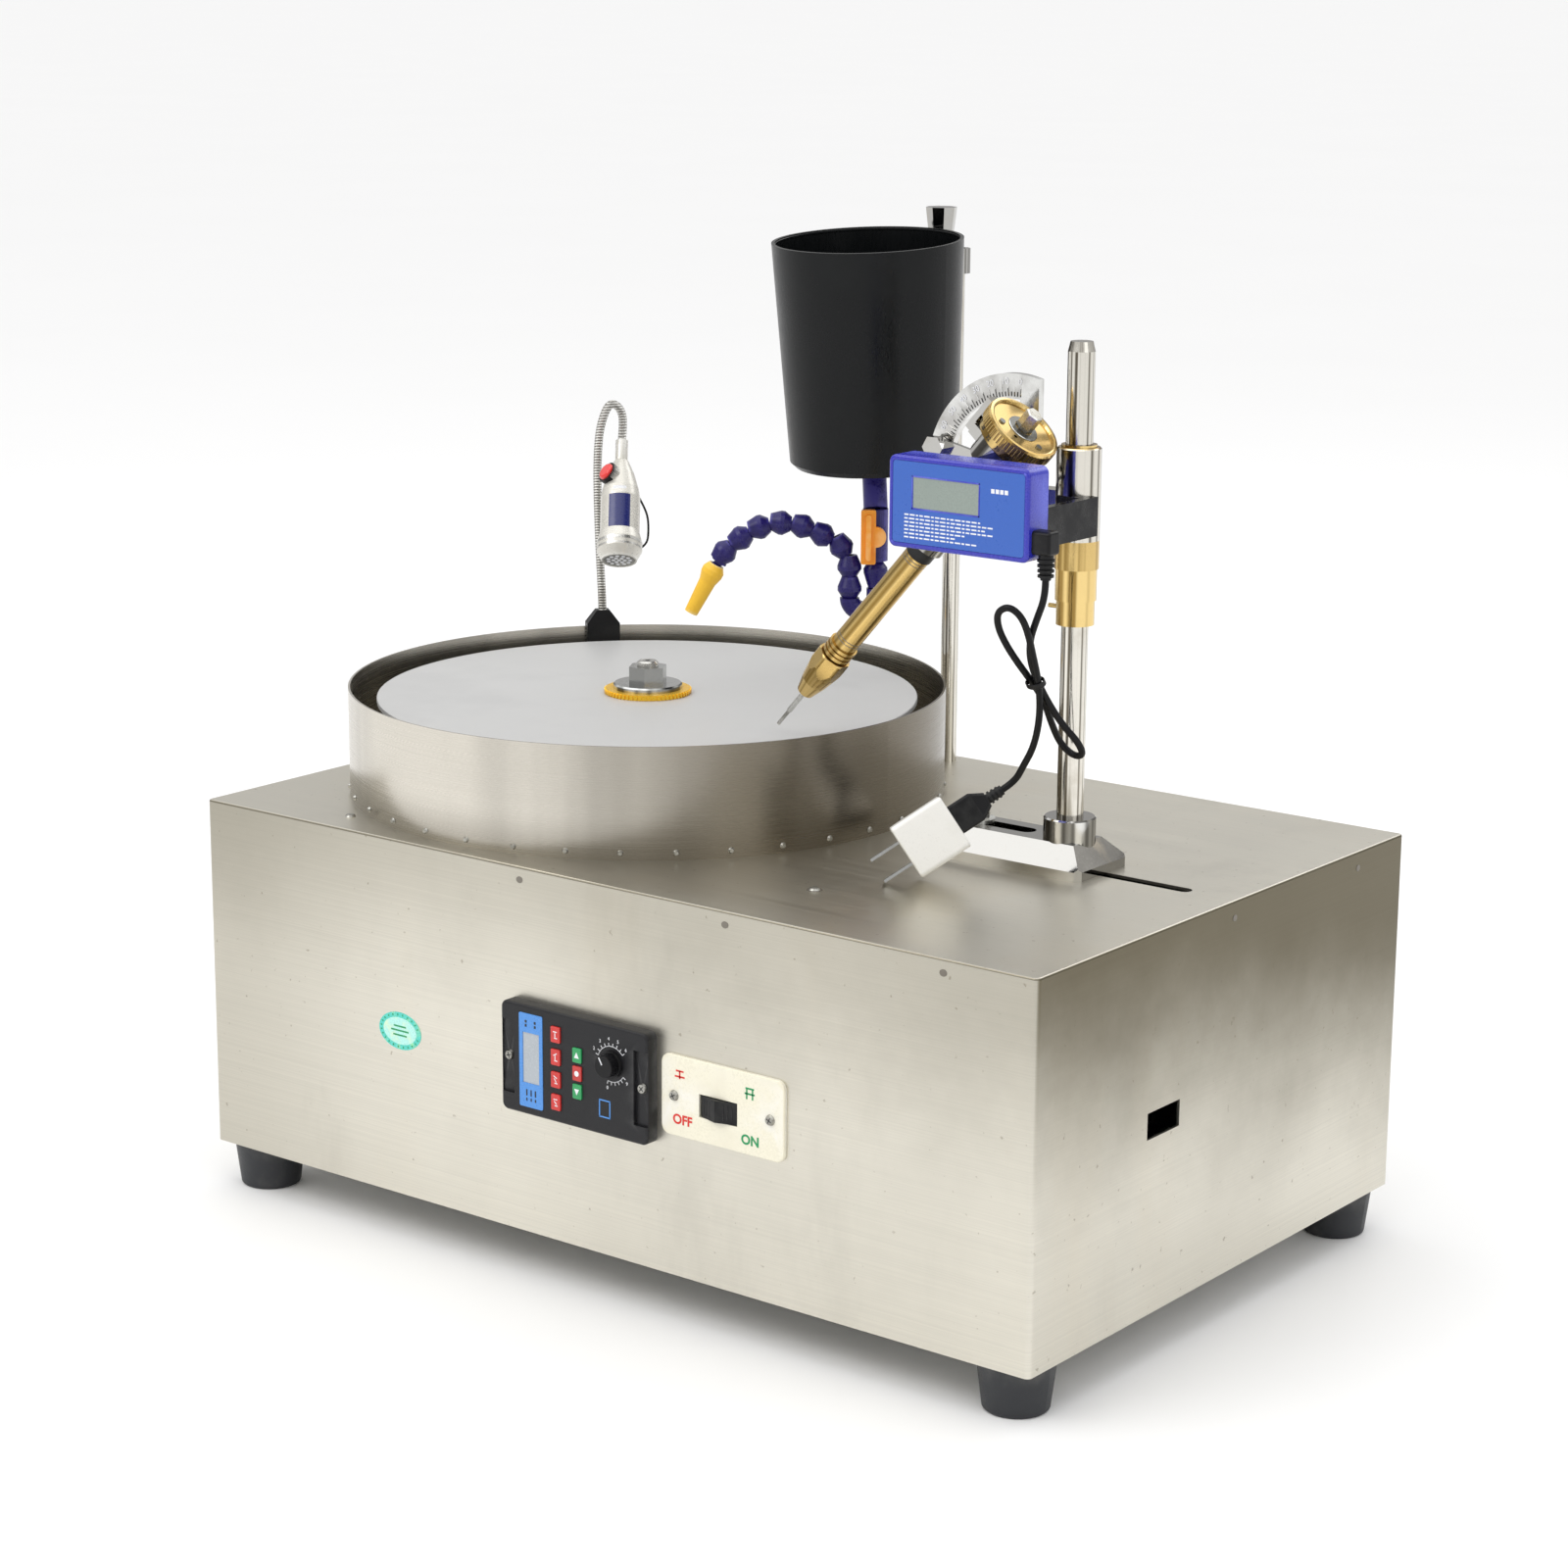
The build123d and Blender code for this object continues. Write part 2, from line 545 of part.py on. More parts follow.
with BuildPart() as clamp_bolt:
    with BuildSketch(upright(BOLT_X, MAST_Y, DECK - SHEET - 12)):
        RegularPolygon(7.5, 6)
    extrude(amount=8.4)
    with BuildSketch(upright(BOLT_X, MAST_Y, DECK - SHEET - 3.5)):
        Circle(10)
    extrude(amount=3)
    with BuildSketch(upright(BOLT_X, MAST_Y, DECK - SHEET - 12)):
        Circle(3.4)
    extrude(amount=BAR_HEIGHT + SHEET + 22)
    with BuildSketch(upright(BOLT_X, MAST_Y, BAR_TOP)):
        Circle(9)
    extrude(amount=2)
    with BuildSketch(upright(BOLT_X, MAST_Y, BAR_TOP + 2)):
        RegularPolygon(7, 6)
    extrude(amount=6)
finish(clamp_bolt, "clamp_bolt")

with BuildPart() as mast:
    with BuildSketch(upright(MAST_X, MAST_Y, DECK + 4)):
        Circle(MAST_RADIUS)
    extrude(amount=MAST_TOP - DECK - 4)
    chamfer(mast.edges().sort_by(Axis.Z)[-1], 5, 1.2)
finish(mast, "mast")

collar_steps = [(COLLAR_BOTTOM, 12.8, 9.9), (COLLAR_BOTTOM + 12.8, 16.3, 10.7),
                (COLLAR_BOTTOM + 29.1, 14.7, 11.5)]
with BuildPart() as brass_collars:
    for collar_z, collar_height, collar_radius in collar_steps:
        with BuildSketch(upright(MAST_X, MAST_Y, collar_z)):
            Circle(collar_radius)
            Circle(MAST_RADIUS + RUNNING_FIT, mode=Mode.SUBTRACT)
        extrude(amount=collar_height)
    # set pin on the left of the lowest collar
    with BuildSketch(Plane(origin=(MAST_X - 9, MAST_Y, COLLAR_BOTTOM + 8), x_dir=(0, 1, 0),
                           z_dir=(-1, 0, 0))):
        Circle(1.2)
    extrude(amount=7)
finish(brass_collars, "brass_collars")

# ================================================================= head: sleeve, protractor, gauge
with BuildPart() as mast_sleeve:
    with BuildSketch(upright(MAST_X, MAST_Y, SLEEVE_BOTTOM)):
        Circle(SLEEVE_RADIUS)
    extrude(amount=SLEEVE_TOP - SLEEVE_BOTTOM)
    chamfer(mast_sleeve.edges().group_by(Axis.Z)[-1], 0.8)
    with BuildSketch(upright(MAST_X, MAST_Y, SLEEVE_TOP)):
        Circle(9.2)
    extrude(amount=1.3)
    # arm to the back of the protractor
    with BuildSketch(upright(0, 0, 404)):
        with BuildLine():
            Polyline((138, -4), (MAST_X, -4), (MAST_X, 8), (138, 5), close=True)
        make_face()
    extrude(amount=20)
    with BuildSketch(upright(MAST_X, MAST_Y, SLEEVE_BOTTOM)):
        Circle(MAST_RADIUS + RUNNING_FIT)
    extrude(amount=60, mode=Mode.SUBTRACT)
finish(mast_sleeve, "mast_sleeve")

plate_plane = Plane(origin=(PIVOT_X, PLATE_FRONT, PIVOT_Z), x_dir=(1, 0, 0), z_dir=(0, -1, 0))
STRUT_RIGHT = 14.8
with BuildPart() as protractor:
    with BuildSketch(plate_plane):
        Circle(ARC_RADIUS)
        with Locations((STRUT_RIGHT + 50, 0)):
            Rectangle(100, 200, mode=Mode.SUBTRACT)
        with Locations((0, -12 - 50)):
            Rectangle(200, 100, mode=Mode.SUBTRACT)
        Rectangle(2 * STRUT_RIGHT, 24)
    extrude(amount=-PLATE_THICKNESS)
    with BuildSketch(plate_plane):
        with BuildLine():
            Line((3.4, 12), (3.4, 40.2))
            ThreePointArc((3.4, 40.2), (-28.5, 28.7), (-38.6, 12))
            Line((-38.6, 12), (3.4, 12))
        make_face()
    extrude(amount=-PLATE_THICKNESS, mode=Mode.SUBTRACT)
    # raised rim and degree marks
    with BuildSketch(plate_plane):
        with PolarLocations(44.5, 19, start_angle=85, angular_range=90, endpoint=True):
            Rectangle(4, 0.5)
    extrude(amount=0.25)
    with BuildSketch(plate_plane.offset(1)):
        Circle(PIVOT_RADIUS + RUNNING_FIT)
    extrude(amount=-PLATE_THICKNESS - 2, mode=Mode.SUBTRACT)
finish(protractor, "protractor")

GAUGE_X = (GAUGE_LEFT + GAUGE_RIGHT) / 2
GAUGE_Z = (GAUGE_BOTTOM + GAUGE_TOP) / 2
GAUGE_WIDTH = GAUGE_RIGHT - GAUGE_LEFT
GAUGE_HEIGHT = GAUGE_TOP - GAUGE_BOTTOM
with BuildPart() as gauge_case:
    with BuildSketch(front_plane(GAUGE_X, GAUGE_Z, GAUGE_BACK)):
        RectangleRounded(GAUGE_WIDTH, GAUGE_HEIGHT, 4)
    extrude(amount=GAUGE_BACK - GAUGE_FRONT)
    fillet(gauge_case.faces().sort_by(Axis.Y)[0].edges(), 1.5)
    with BuildSketch(front_plane(GAUGE_X, GAUGE_Z, GAUGE_FRONT)):
        RectangleRounded(GAUGE_WIDTH - 5, GAUGE_HEIGHT - 5, 2)
    extrude(amount=-0.6, mode=Mode.SUBTRACT)
    with BuildSketch(front_plane(PIVOT_X, PIVOT_Z, GAUGE_BACK)):
        Circle(PIVOT_RADIUS + RUNNING_FIT)
    extrude(amount=11, mode=Mode.SUBTRACT)
finish(gauge_case, "gauge_case")

DISPLAY_X, DISPLAY_Z = -7.5, 5.2
with BuildPart() as gauge_face:
    with BuildSketch(front_plane(GAUGE_X, GAUGE_Z, GAUGE_FRONT + 0.6)):
        RectangleRounded(GAUGE_WIDTH - 5.4, GAUGE_HEIGHT - 5.4, 1.8)
        with Locations((DISPLAY_X, DISPLAY_Z)):
            Rectangle(40, 15.6, mode=Mode.SUBTRACT)
    extrude(amount=0.5)
    with BuildSketch(front_plane(GAUGE_X, GAUGE_Z, GAUGE_FRONT + 0.6)):
        with Locations((DISPLAY_X, DISPLAY_Z)):
            Rectangle(40, 15.6)
    extrude(amount=0.3)
finish(gauge_face, "gauge_face")

with BuildPart() as gauge_bracket:
    with BuildSketch(upright(0, 0, 402.5)):
        with BuildLine():
            Polyline((172, GAUGE_BACK), (191, GAUGE_BACK), (191, 0), (180, 0), (172, -7), (172, -10),
                     (186.4, -10), (186.4, GAUGE_BACK + 0.7), (172, GAUGE_BACK + 0.7), close=True)
        make_face()
    extrude(amount=20)
    with BuildSketch(upright(MAST_X, MAST_Y, 400)):
        Circle(SLEEVE_RADIUS)
    extrude(amount=30, mode=Mode.SUBTRACT)
finish(gauge_bracket, "gauge_bracket")

PLUG_X, PLUG_Y = 201, -61.5
CORD_START_Z = 389.4
with BuildPart() as gauge_plug:
    with BuildSketch(Plane(origin=(GAUGE_RIGHT, PLUG_Y, 408), x_dir=(0, 1, 0), z_dir=(1, 0, 0))):
        RectangleRounded(10, 12, 2)
    extrude(amount=10.5)
    fillet(gauge_plug.faces().sort_by(Axis.X)[-1].edges(), 1.5)
    with BuildSketch(upright(PLUG_X, PLUG_Y, 404)):
        Circle(4.2)
    extrude(amount=-(404 - CORD_START_Z), taper=6)
    for ring in range(4):
        with BuildSketch(upright(PLUG_X, PLUG_Y, CORD_START_Z + 1.5 + 2.6 * ring)):
            Circle(4.6 - 0.12 * (4 - ring))
            Circle(2.0, mode=Mode.SUBTRACT)
        extrude(amount=1.2)
finish(gauge_plug, "gauge_plug")

# ================================================================= gauge cord, USB plug and charger
CHARGER_DIR = Vector(0.5815, 0.6116, 0.5364)
PRONG_DIR = Vector(-0.557, -0.183, 0.814)
CHARGER_FACE = Vector(129.6, -77.1, 242.0)


def charger_plane(distance):
    """A plane square to the charger's length, at a distance from its prong face."""
    return Plane(origin=CHARGER_FACE + CHARGER_DIR * distance, x_dir=PRONG_DIR, z_dir=CHARGER_DIR)


CHARGER_LENGTH = 30
USB_END = 59
with BuildPart() as charger:
    with BuildSketch(charger_plane(0)):
        RectangleRounded(30, 26, 2.5)
    extrude(amount=CHARGER_LENGTH)
    fillet(charger.edges().filter_by(GeomType.CIRCLE), 1.2)
    with BuildSketch(charger_plane(CHARGER_LENGTH)):
        Rectangle(12.6, 5.2)
    extrude(amount=-13, mode=Mode.SUBTRACT)
    # two flat prongs with their holes
    with BuildSketch(charger_plane(-17)):
        with Locations((-6.35, 0), (6.35, 0)):
            Rectangle(1.5, 6.3)
    extrude(amount=22)
    with BuildSketch(Plane(origin=CHARGER_FACE - CHARGER_DIR * 13.5, x_dir=CHARGER_DIR, z_dir=PRONG_DIR)):
        Circle(1.6)
    extrude(amount=12, both=True, mode=Mode.SUBTRACT)
finish(charger, "charger")

with BuildPart() as usb_plug:
    with BuildSketch(charger_plane(CHARGER_LENGTH - 12)):
        Rectangle(12.5, 5.1)
    extrude(amount=12)
    with BuildSketch(charger_plane(CHARGER_LENGTH)):
        RectangleRounded(16, 8, 1.5)
    extrude(amount=13)
    with BuildSketch(charger_plane(CHARGER_LENGTH + 13)):
        RectangleRounded(16, 8, 1.5)
    with BuildSketch(charger_plane(CHARGER_LENGTH + 20)):
        RectangleRounded(8, 6.6, 1.5)
    loft()
    with BuildSketch(charger_plane(CHARGER_LENGTH + 20)):
        Circle(2.7)
    extrude(amount=USB_END - CHARGER_LENGTH - 20)
    for ring in range(3):
        with BuildSketch(charger_plane(CHARGER_LENGTH + 21.2 + 2.4 * ring)):
            Circle(3.5 - 0.15 * ring)
        extrude(amount=1.2)
finish(usb_plug, "usb_plug")

usb_exit = CHARGER_FACE + CHARGER_DIR * USB_END
# The cord leaves the gauge plug, folds down, loops up, is tied, and runs to the USB plug.
CORD_ROUTE = [
    (201.0, -61.5, 389.4), (201.0, -61.5, 381.0), (195.6, -60.4, 369.0), (190.2, -58.0, 358.0),
    (187.6, -53.8, 346.5), (188.3, -47.6, 334.5), (191.0, -40.6, 322.0), (195.0, -33.0, 310.0),
    (199.6, -26.4, 301.4), (199.6, -20.4, 293.4), (191.2, -16.6, 290.8), (184.4, -19.4, 297.0),
    (184.8, -28.4, 309.0), (186.6, -38.8, 323.4), (184.2, -46.8, 334.0), (181.4, -55.4, 344.5),
    (178.6, -62.2, 354.5), (177.0, -67.4, 364.2), (179.0, -70.8, 372.4), (186.2, -71.2, 376.0),
    (191.8, -68.2, 371.0), (192.4, -62.8, 361.6), (191.4, -57.0, 350.0), (190.8, -51.2, 337.5),
    (189.4, -46.2, 324.5), (186.4, -42.6, 311.0), (181.8, -40.2, 298.0), (175.0, -38.6, 287.4),
    tuple(usb_exit + CHARGER_DIR * 8), tuple(usb_exit)]


def cord_radii(route):
    """The bend radius at each corner of a cord's route, from its shorter run and its turn."""
    radii = []
    for before, corner, after in zip(route, route[1:], route[2:]):
        run_in = Vector(*corner) - Vector(*before)
        run_out = Vector(*after) - Vector(*corner)
        half_turn = radians(run_in.get_angle(run_out)) / 2
        radii.append(0.45 * min(run_in.length, run_out.length) / tan(half_turn))
    return radii


with BuildPart() as gauge_cord:
    with BuildLine() as cord_path:
        FilletPolyline(*CORD_ROUTE, radius=cord_radii(CORD_ROUTE))
    with BuildSketch(cord_path.line ^ 0):
        Circle(CORD_DIAMETER / 2)
    sweep(path=cord_path.line)
finish(gauge_cord, "gauge_cord")

# ================================================================= quill
HOUSING_START, HOUSING_END = 145, 219
WHEEL_START, WHEEL_END = 221.4, 231.4
WHEEL_RADIUS = 20.6
SPINDLE_RADIUS = 4
with BuildPart() as quill_tube:
    with BuildSketch(quill_plane(66)):
        Circle(7)
    extrude(amount=71)
    # black seal ring
    with BuildSketch(quill_plane(137)):
        Circle(7.6)
    extrude(amount=8)
    # ridged collar
    with BuildSketch(quill_plane(57.3)):
        Circle(7.2)
    extrude(amount=8.7)
    for ridge in range(3):
        with BuildSketch(quill_plane(58.2 + 2.8 * ridge)):
            Circle(8.1)
        extrude(amount=1.8)
    with BuildSketch(quill_plane(57)):
        Circle(SPINDLE_RADIUS + RUNNING_FIT)
    extrude(amount=90, mode=Mode.SUBTRACT)
finish(quill_tube, "quill_tube")

DETENT_PIN = HOUSING_END - 7
detent_pin_plane = Plane(origin=quill_plane(DETENT_PIN).origin + quill_plane(0).y_dir * 18,
                         x_dir=quill_dir, z_dir=(0, 1, 0))
with BuildPart() as quill_housing:
    with BuildSketch(quill_plane(HOUSING_START)):
        Circle(10)
    extrude(amount=HOUSING_END - HOUSING_START)
    with BuildSketch(quill_plane(HOUSING_END - 13)):
        Circle(14.5)
    extrude(amount=13)
    chamfer(quill_housing.faces().filter_by(GeomType.PLANE).sort_by(quill_axis)[-1].edges(), 0.6)
    # ears and pin of the detent lever
    for side in (-1, 1):
        with BuildSketch(quill_plane(DETENT_PIN - 3)):
            with Locations((side * 4.5, 16)):
                Rectangle(1.5, 8)
        extrude(amount=6)
    with BuildSketch(detent_pin_plane):
        Circle(1)
    extrude(amount=4.5, both=True)
    # pivot block
    with BuildSketch(front_plane(PIVOT_X, PIVOT_Z, QUILL_Y + 9)):
        Circle(9)
    extrude(amount=18)
    # seat of the pivot pin
    with BuildSketch(front_plane(PIVOT_X, PIVOT_Z, QUILL_Y - 5)):
        Circle(PIVOT_RADIUS)
    extrude(amount=8, mode=Mode.SUBTRACT)
    # arm to the lock nut in front of the protractor's arc
    with BuildSketch(front_plane(PIVOT_X, PIVOT_Z, PLATE_FRONT - 0.6)):
        Circle(8)
        with Locations((-44.5, 12.2)):
            Circle(5)
        with BuildLine():
            Polyline((-2, 7.6), (-45.7, 17), (-43.2, 7.4), (2, -7.6), close=True)
        make_face()
    extrude(amount=3)
    with BuildSketch(front_plane(PIVOT_X - 44.5, PIVOT_Z + 12.2, PLATE_FRONT - 3.6)):
        RegularPolygon(6.4, 6)
    extrude(amount=5.5)
    with BuildSketch(front_plane(PIVOT_X, PIVOT_Z, PLATE_FRONT - 3.6)):
        Circle(6.5)
    extrude(amount=12)
    with BuildSketch(quill_plane(HOUSING_START - 1)):
        Circle(SPINDLE_RADIUS + RUNNING_FIT)
    extrude(amount=80, mode=Mode.SUBTRACT)
finish(quill_housing, "quill_housing")

with BuildPart() as pivot_pin:
    with BuildSketch(front_plane(PIVOT_X, PIVOT_Z, QUILL_Y - 5)):
        Circle(PIVOT_RADIUS)
    extrude(amount=26)
    with BuildSketch(front_plane(PIVOT_X, PIVOT_Z, PLATE_FRONT - 0.6)):
        Circle(PIVOT_RADIUS)
    extrude(amount=-3.5)
finish(pivot_pin, "pivot_pin")

with BuildPart() as quill_spindle:
    with BuildSketch(quill_plane(45)):
        Circle(SPINDLE_RADIUS)
    extrude(amount=WHEEL_END + 2 - 45)
    with BuildSketch(quill_plane(WHEEL_END)):
        RegularPolygon(4.7, 6)
    extrude(amount=11)
    chamfer(quill_spindle.faces().filter_by(GeomType.PLANE).sort_by(quill_axis)[-1].edges(), 0.6)
finish(quill_spindle, "quill_spindle")

with BuildPart() as chuck:
    with BuildSketch(quill_section):
        with BuildLine():
            Polyline((0, 27), (4.8, 27), (7.2, 36), (9.4, 48), (9.4, 56), (8.8, 56.9), (0, 56.9),
                     close=True)
        make_face()
    revolve(axis=quill_axis)
    with BuildSketch(quill_plane(27)):
        RegularPolygon(9.9, 6)
    extrude(amount=31, mode=Mode.INTERSECT)
    with BuildSketch(quill_plane(26)):
        Circle(1.5)
    extrude(amount=20, mode=Mode.SUBTRACT)
    with BuildSketch(quill_plane(45)):
        Circle(SPINDLE_RADIUS)
    extrude(amount=13, mode=Mode.SUBTRACT)
finish(chuck, "chuck")

with BuildPart() as dop:
    with BuildSketch(quill_plane(0)):
        Circle(1)
    extrude(amount=12)
    with BuildSketch(quill_plane(11)):
        Circle(1.5)
    extrude(amount=34)
finish(dop, "dop")

NOTCHES = 64
with BuildPart() as index_wheel:
    with BuildSketch(quill_plane(WHEEL_START)):
        Circle(WHEEL_RADIUS - 1.4)
    extrude(amount=WHEEL_END - WHEEL_START)
    with BuildSketch(quill_plane(WHEEL_END - 5.5)):
        Circle(WHEEL_RADIUS)
        with PolarLocations(WHEEL_RADIUS + 0.1, NOTCHES):
            Circle(0.55, mode=Mode.SUBTRACT)
    extrude(amount=5.5)
    with BuildSketch(quill_plane(WHEEL_END)):
        with PolarLocations(11, 2, start_angle=20):
            Circle(1)
    extrude(amount=-3, mode=Mode.SUBTRACT)
    with BuildSketch(quill_plane(WHEEL_START - 2.1)):
        Circle(9)
    extrude(amount=2.1)
    with BuildSketch(quill_plane(WHEEL_START - 3)):
        Circle(SPINDLE_RADIUS)
    extrude(amount=20, mode=Mode.SUBTRACT)
finish(index_wheel, "index_wheel")

# Detent lever: a sprung blade on the housing with a pawl that drops towards the wheel's notches.
LEVER_OFFSET = WHEEL_RADIUS + 1.8
with BuildPart() as detent_lever:
    with BuildSketch(quill_plane(DETENT_PIN - 3)):
        with Locations((0, LEVER_OFFSET)):
            Rectangle(7, 3)
    extrude(amount=WHEEL_END - DETENT_PIN + 1)
    with BuildSketch(quill_plane(DETENT_PIN - 3)):
        with Locations((0, 18.2)):
            Rectangle(7, 6)
    extrude(amount=6)
    # pawl
    with BuildSketch(quill_plane(WHEEL_END - 5)):
        with Locations((0, WHEEL_RADIUS + 0.7)):
            Rectangle(0.7, 0.8)
    extrude(amount=3)
    with BuildSketch(detent_pin_plane):
        Circle(1 + RUNNING_FIT)
    extrude(amount=5, both=True, mode=Mode.SUBTRACT)
finish(detent_lever, "detent_lever")

# ================================================================= water post, clamp and tank
with BuildPart() as tank_post:
    with BuildSketch(upright(POST_X, POST_Y, DECK)):
        Circle(POST_RADIUS)
    extrude(amount=POST_TOP - DECK)
    chamfer(tank_post.edges().sort_by(Axis.Z)[-1], 1)
    with BuildSketch(upright(POST_X, POST_Y, DECK - SHEET)):
        RegularPolygon(9, 6)
    extrude(amount=-6)
    with BuildSketch(upright(POST_X, POST_Y, DECK + 1)):
        Circle(3)
    extrude(amount=-9)
finish(tank_post, "tank_post")

tank_plane = Plane(origin=(TANK_X, TANK_Y, TANK_Z), x_dir=(1, 0, 0),
                   z_dir=(0, -sin(radians(TANK_LEAN)), cos(radians(TANK_LEAN))))
tank_axis = Axis(tank_plane.origin, tank_plane.z_dir)
tank_section = Plane(origin=tank_plane.origin, x_dir=(1, 0, 0),
                     z_dir=(0, -cos(radians(TANK_LEAN)), -sin(radians(TANK_LEAN))))
with BuildPart() as tank:
    with BuildSketch(tank_section):
        with BuildLine():
            Polyline((5, 0), (TANK_BOTTOM_RADIUS - 3, 0), (TANK_BOTTOM_RADIUS, 3),
                     (TANK_TOP_RADIUS, TANK_HEIGHT), (TANK_TOP_RADIUS - TANK_WALL, TANK_HEIGHT),
                     (TANK_BOTTOM_RADIUS - TANK_WALL, 4), (TANK_BOTTOM_RADIUS - 5, TANK_WALL),
                     (5, TANK_WALL), close=True)
        make_face()
    revolve(axis=tank_axis)
finish(tank, "tank")

CLAMP_Z = 511
KNOB_SPOT = (-22, 159.6)
with BuildPart() as post_clamp:
    with BuildSketch(upright(0, 0, CLAMP_Z)):
        with Locations((POST_X, POST_Y)):
            Circle(8)
        with Locations(KNOB_SPOT):
            Circle(7)
    extrude(amount=14)
    with BuildSketch(upright(POST_X, POST_Y, CLAMP_Z - 1)):
        Circle(POST_RADIUS + RUNNING_FIT)
    extrude(amount=20, mode=Mode.SUBTRACT)
    # pad that carries the tank's wall
    with BuildSketch(tank_plane.offset(TANK_HEIGHT - 27)):
        with Locations((6, 54.5)):
            Rectangle(26, 8)
    extrude(amount=14)
    with BuildSketch(tank_section):
        with BuildLine():
            Polyline((0, 0), (TANK_BOTTOM_RADIUS, 3), (TANK_TOP_RADIUS, TANK_HEIGHT), (0, TANK_HEIGHT),
                     close=True)
        make_face()
    revolve(axis=tank_axis, mode=Mode.SUBTRACT)
    with BuildSketch(upright(*KNOB_SPOT, CLAMP_Z + 14)):
        Circle(2.5 + RUNNING_FIT)
    extrude(amount=-12, mode=Mode.SUBTRACT)
finish(post_clamp, "post_clamp")

with BuildPart() as clamp_knob:
    with BuildSketch(upright(*KNOB_SPOT, CLAMP_Z + 3)):
        Circle(2.5)
    extrude(amount=14)
    with BuildSketch(upright(*KNOB_SPOT, CLAMP_Z + 16)):
        RegularPolygon(6.5, 8)
    with BuildSketch(upright(*KNOB_SPOT, CLAMP_Z + 37)):
        RegularPolygon(9, 8)
    loft()
    with BuildSketch(upright(*KNOB_SPOT, CLAMP_Z + 14.3)):
        Circle(6)
    extrude(amount=2)
finish(clamp_knob, "clamp_knob")

# ================================================================= segmented hose, valve and nozzle


def along(line, distance):
    """A plane square to a path at a distance along it."""
    part = distance / line.length
    return Plane(origin=line @ part, z_dir=line % part)


def hose_segment(plane, length):
    """One ball-jointed hose segment: ball end, flare and neck, with its bore."""
    section = Plane(origin=plane.origin, x_dir=plane.x_dir, z_dir=-plane.y_dir)
    with BuildPart() as segment:
        with BuildSketch(section):
            with BuildLine():
                Polyline((2.6, 0), (4.2, 0), (HOSE_RADIUS, 4.2), (HOSE_RADIUS, 6.4), (4.6, length),
                         (2.6, length), close=True)
            make_face()
        revolve(axis=Axis(plane.origin, plane.z_dir))
    return segment.part


valve_center = (DOWN_LEG[0] - 1.5, DOWN_LEG[1] + 0.6, 367.5)
valve_plane = Plane(origin=valve_center, x_dir=SIDE, z_dir=OUT)
with BuildPart() as hose_inlet:
    # threaded outlet through the tank's floor, its two flanges and the first segment
    with BuildSketch(tank_plane.offset(-8)):
        Circle(4.95)
        Circle(2.6, mode=Mode.SUBTRACT)
    extrude(amount=16)
    with BuildSketch(tank_plane.offset(-4)):
        Circle(9)
        Circle(4, mode=Mode.SUBTRACT)
    extrude(amount=4)
    with BuildSketch(tank_plane.offset(TANK_WALL)):
        Circle(8)
        Circle(4, mode=Mode.SUBTRACT)
    extrude(amount=4)
    with BuildLine() as inlet_path:
        Line(tank_plane.origin - tank_plane.z_dir * 8, Vector(*valve_center) + Vector(0, 0, 14.4))
    with BuildSketch(inlet_path.line ^ 0):
        Circle(6.9)
        Circle(2.6, mode=Mode.SUBTRACT)
    sweep(path=inlet_path.line)
    # tap body and the hub of its handle
    with BuildSketch(upright(valve_center[0], valve_center[1], valve_center[2] - 15)):
        Circle(7.2)
        Circle(2.6, mode=Mode.SUBTRACT)
    extrude(amount=29.6)
    with BuildSketch(valve_plane):
        Circle(4.6)
    extrude(amount=8.4)
    with BuildSketch(upright(valve_center[0], valve_center[1], valve_center[2] - 16)):
        Circle(2.6)
    extrude(amount=32, mode=Mode.SUBTRACT)
    with BuildSketch(valve_plane.offset(3.5)):
        Circle(2 + RUNNING_FIT)
    extrude(amount=6, mode=Mode.SUBTRACT)
finish(hose_inlet, "hose_inlet")

with BuildPart() as valve_handle:
    with BuildSketch(valve_plane.offset(4)):
        Circle(2)
    extrude(amount=5)
    with BuildSketch(valve_plane.offset(8.7)):
        Circle(5.8)
        with Locations((-4.2, 0)):
            RectangleRounded(8.4, 31, 1.2)
    extrude(amount=3.6)
    with BuildSketch(valve_plane.offset(12.3)):
        with Locations((-4.2, 0)):
            RectangleRounded(3, 26, 1.2)
    extrude(amount=2.6)
finish(valve_handle, "valve_handle")

ARCH = [(UP_LEG[0], UP_LEG[1], ELBOW_Z), (UP_LEG[0], UP_LEG[1], 342), (-36.0, 90.6, 355.5),
        (-45.5, 83.5, 366.0), (-59.0, 73.2, 372.6), (-72.6, 62.7, 371.6), (-83.5, 54.2, 364.2),
        (-93.0, 46.9, 351.0)]
ELBOW_RADIUS = (Vector(*DOWN_LEG) - Vector(*UP_LEG)).length / 2
with BuildLine():
    down_line = Line((valve_center[0], valve_center[1], valve_center[2] - 15.4), (*DOWN_LEG, ELBOW_Z + 6))
with BuildLine():
    arch_line = Spline(*ARCH, tangents=((0, 0, 1), (-0.45, -0.34, -0.83)))
segments = []
for leg, count in ((down_line, 1), (arch_line, round(arch_line.length / HOSE_PITCH))):
    pitch = leg.length / count
    segments += [hose_segment(along(leg, pitch * i), pitch) for i in range(count)]

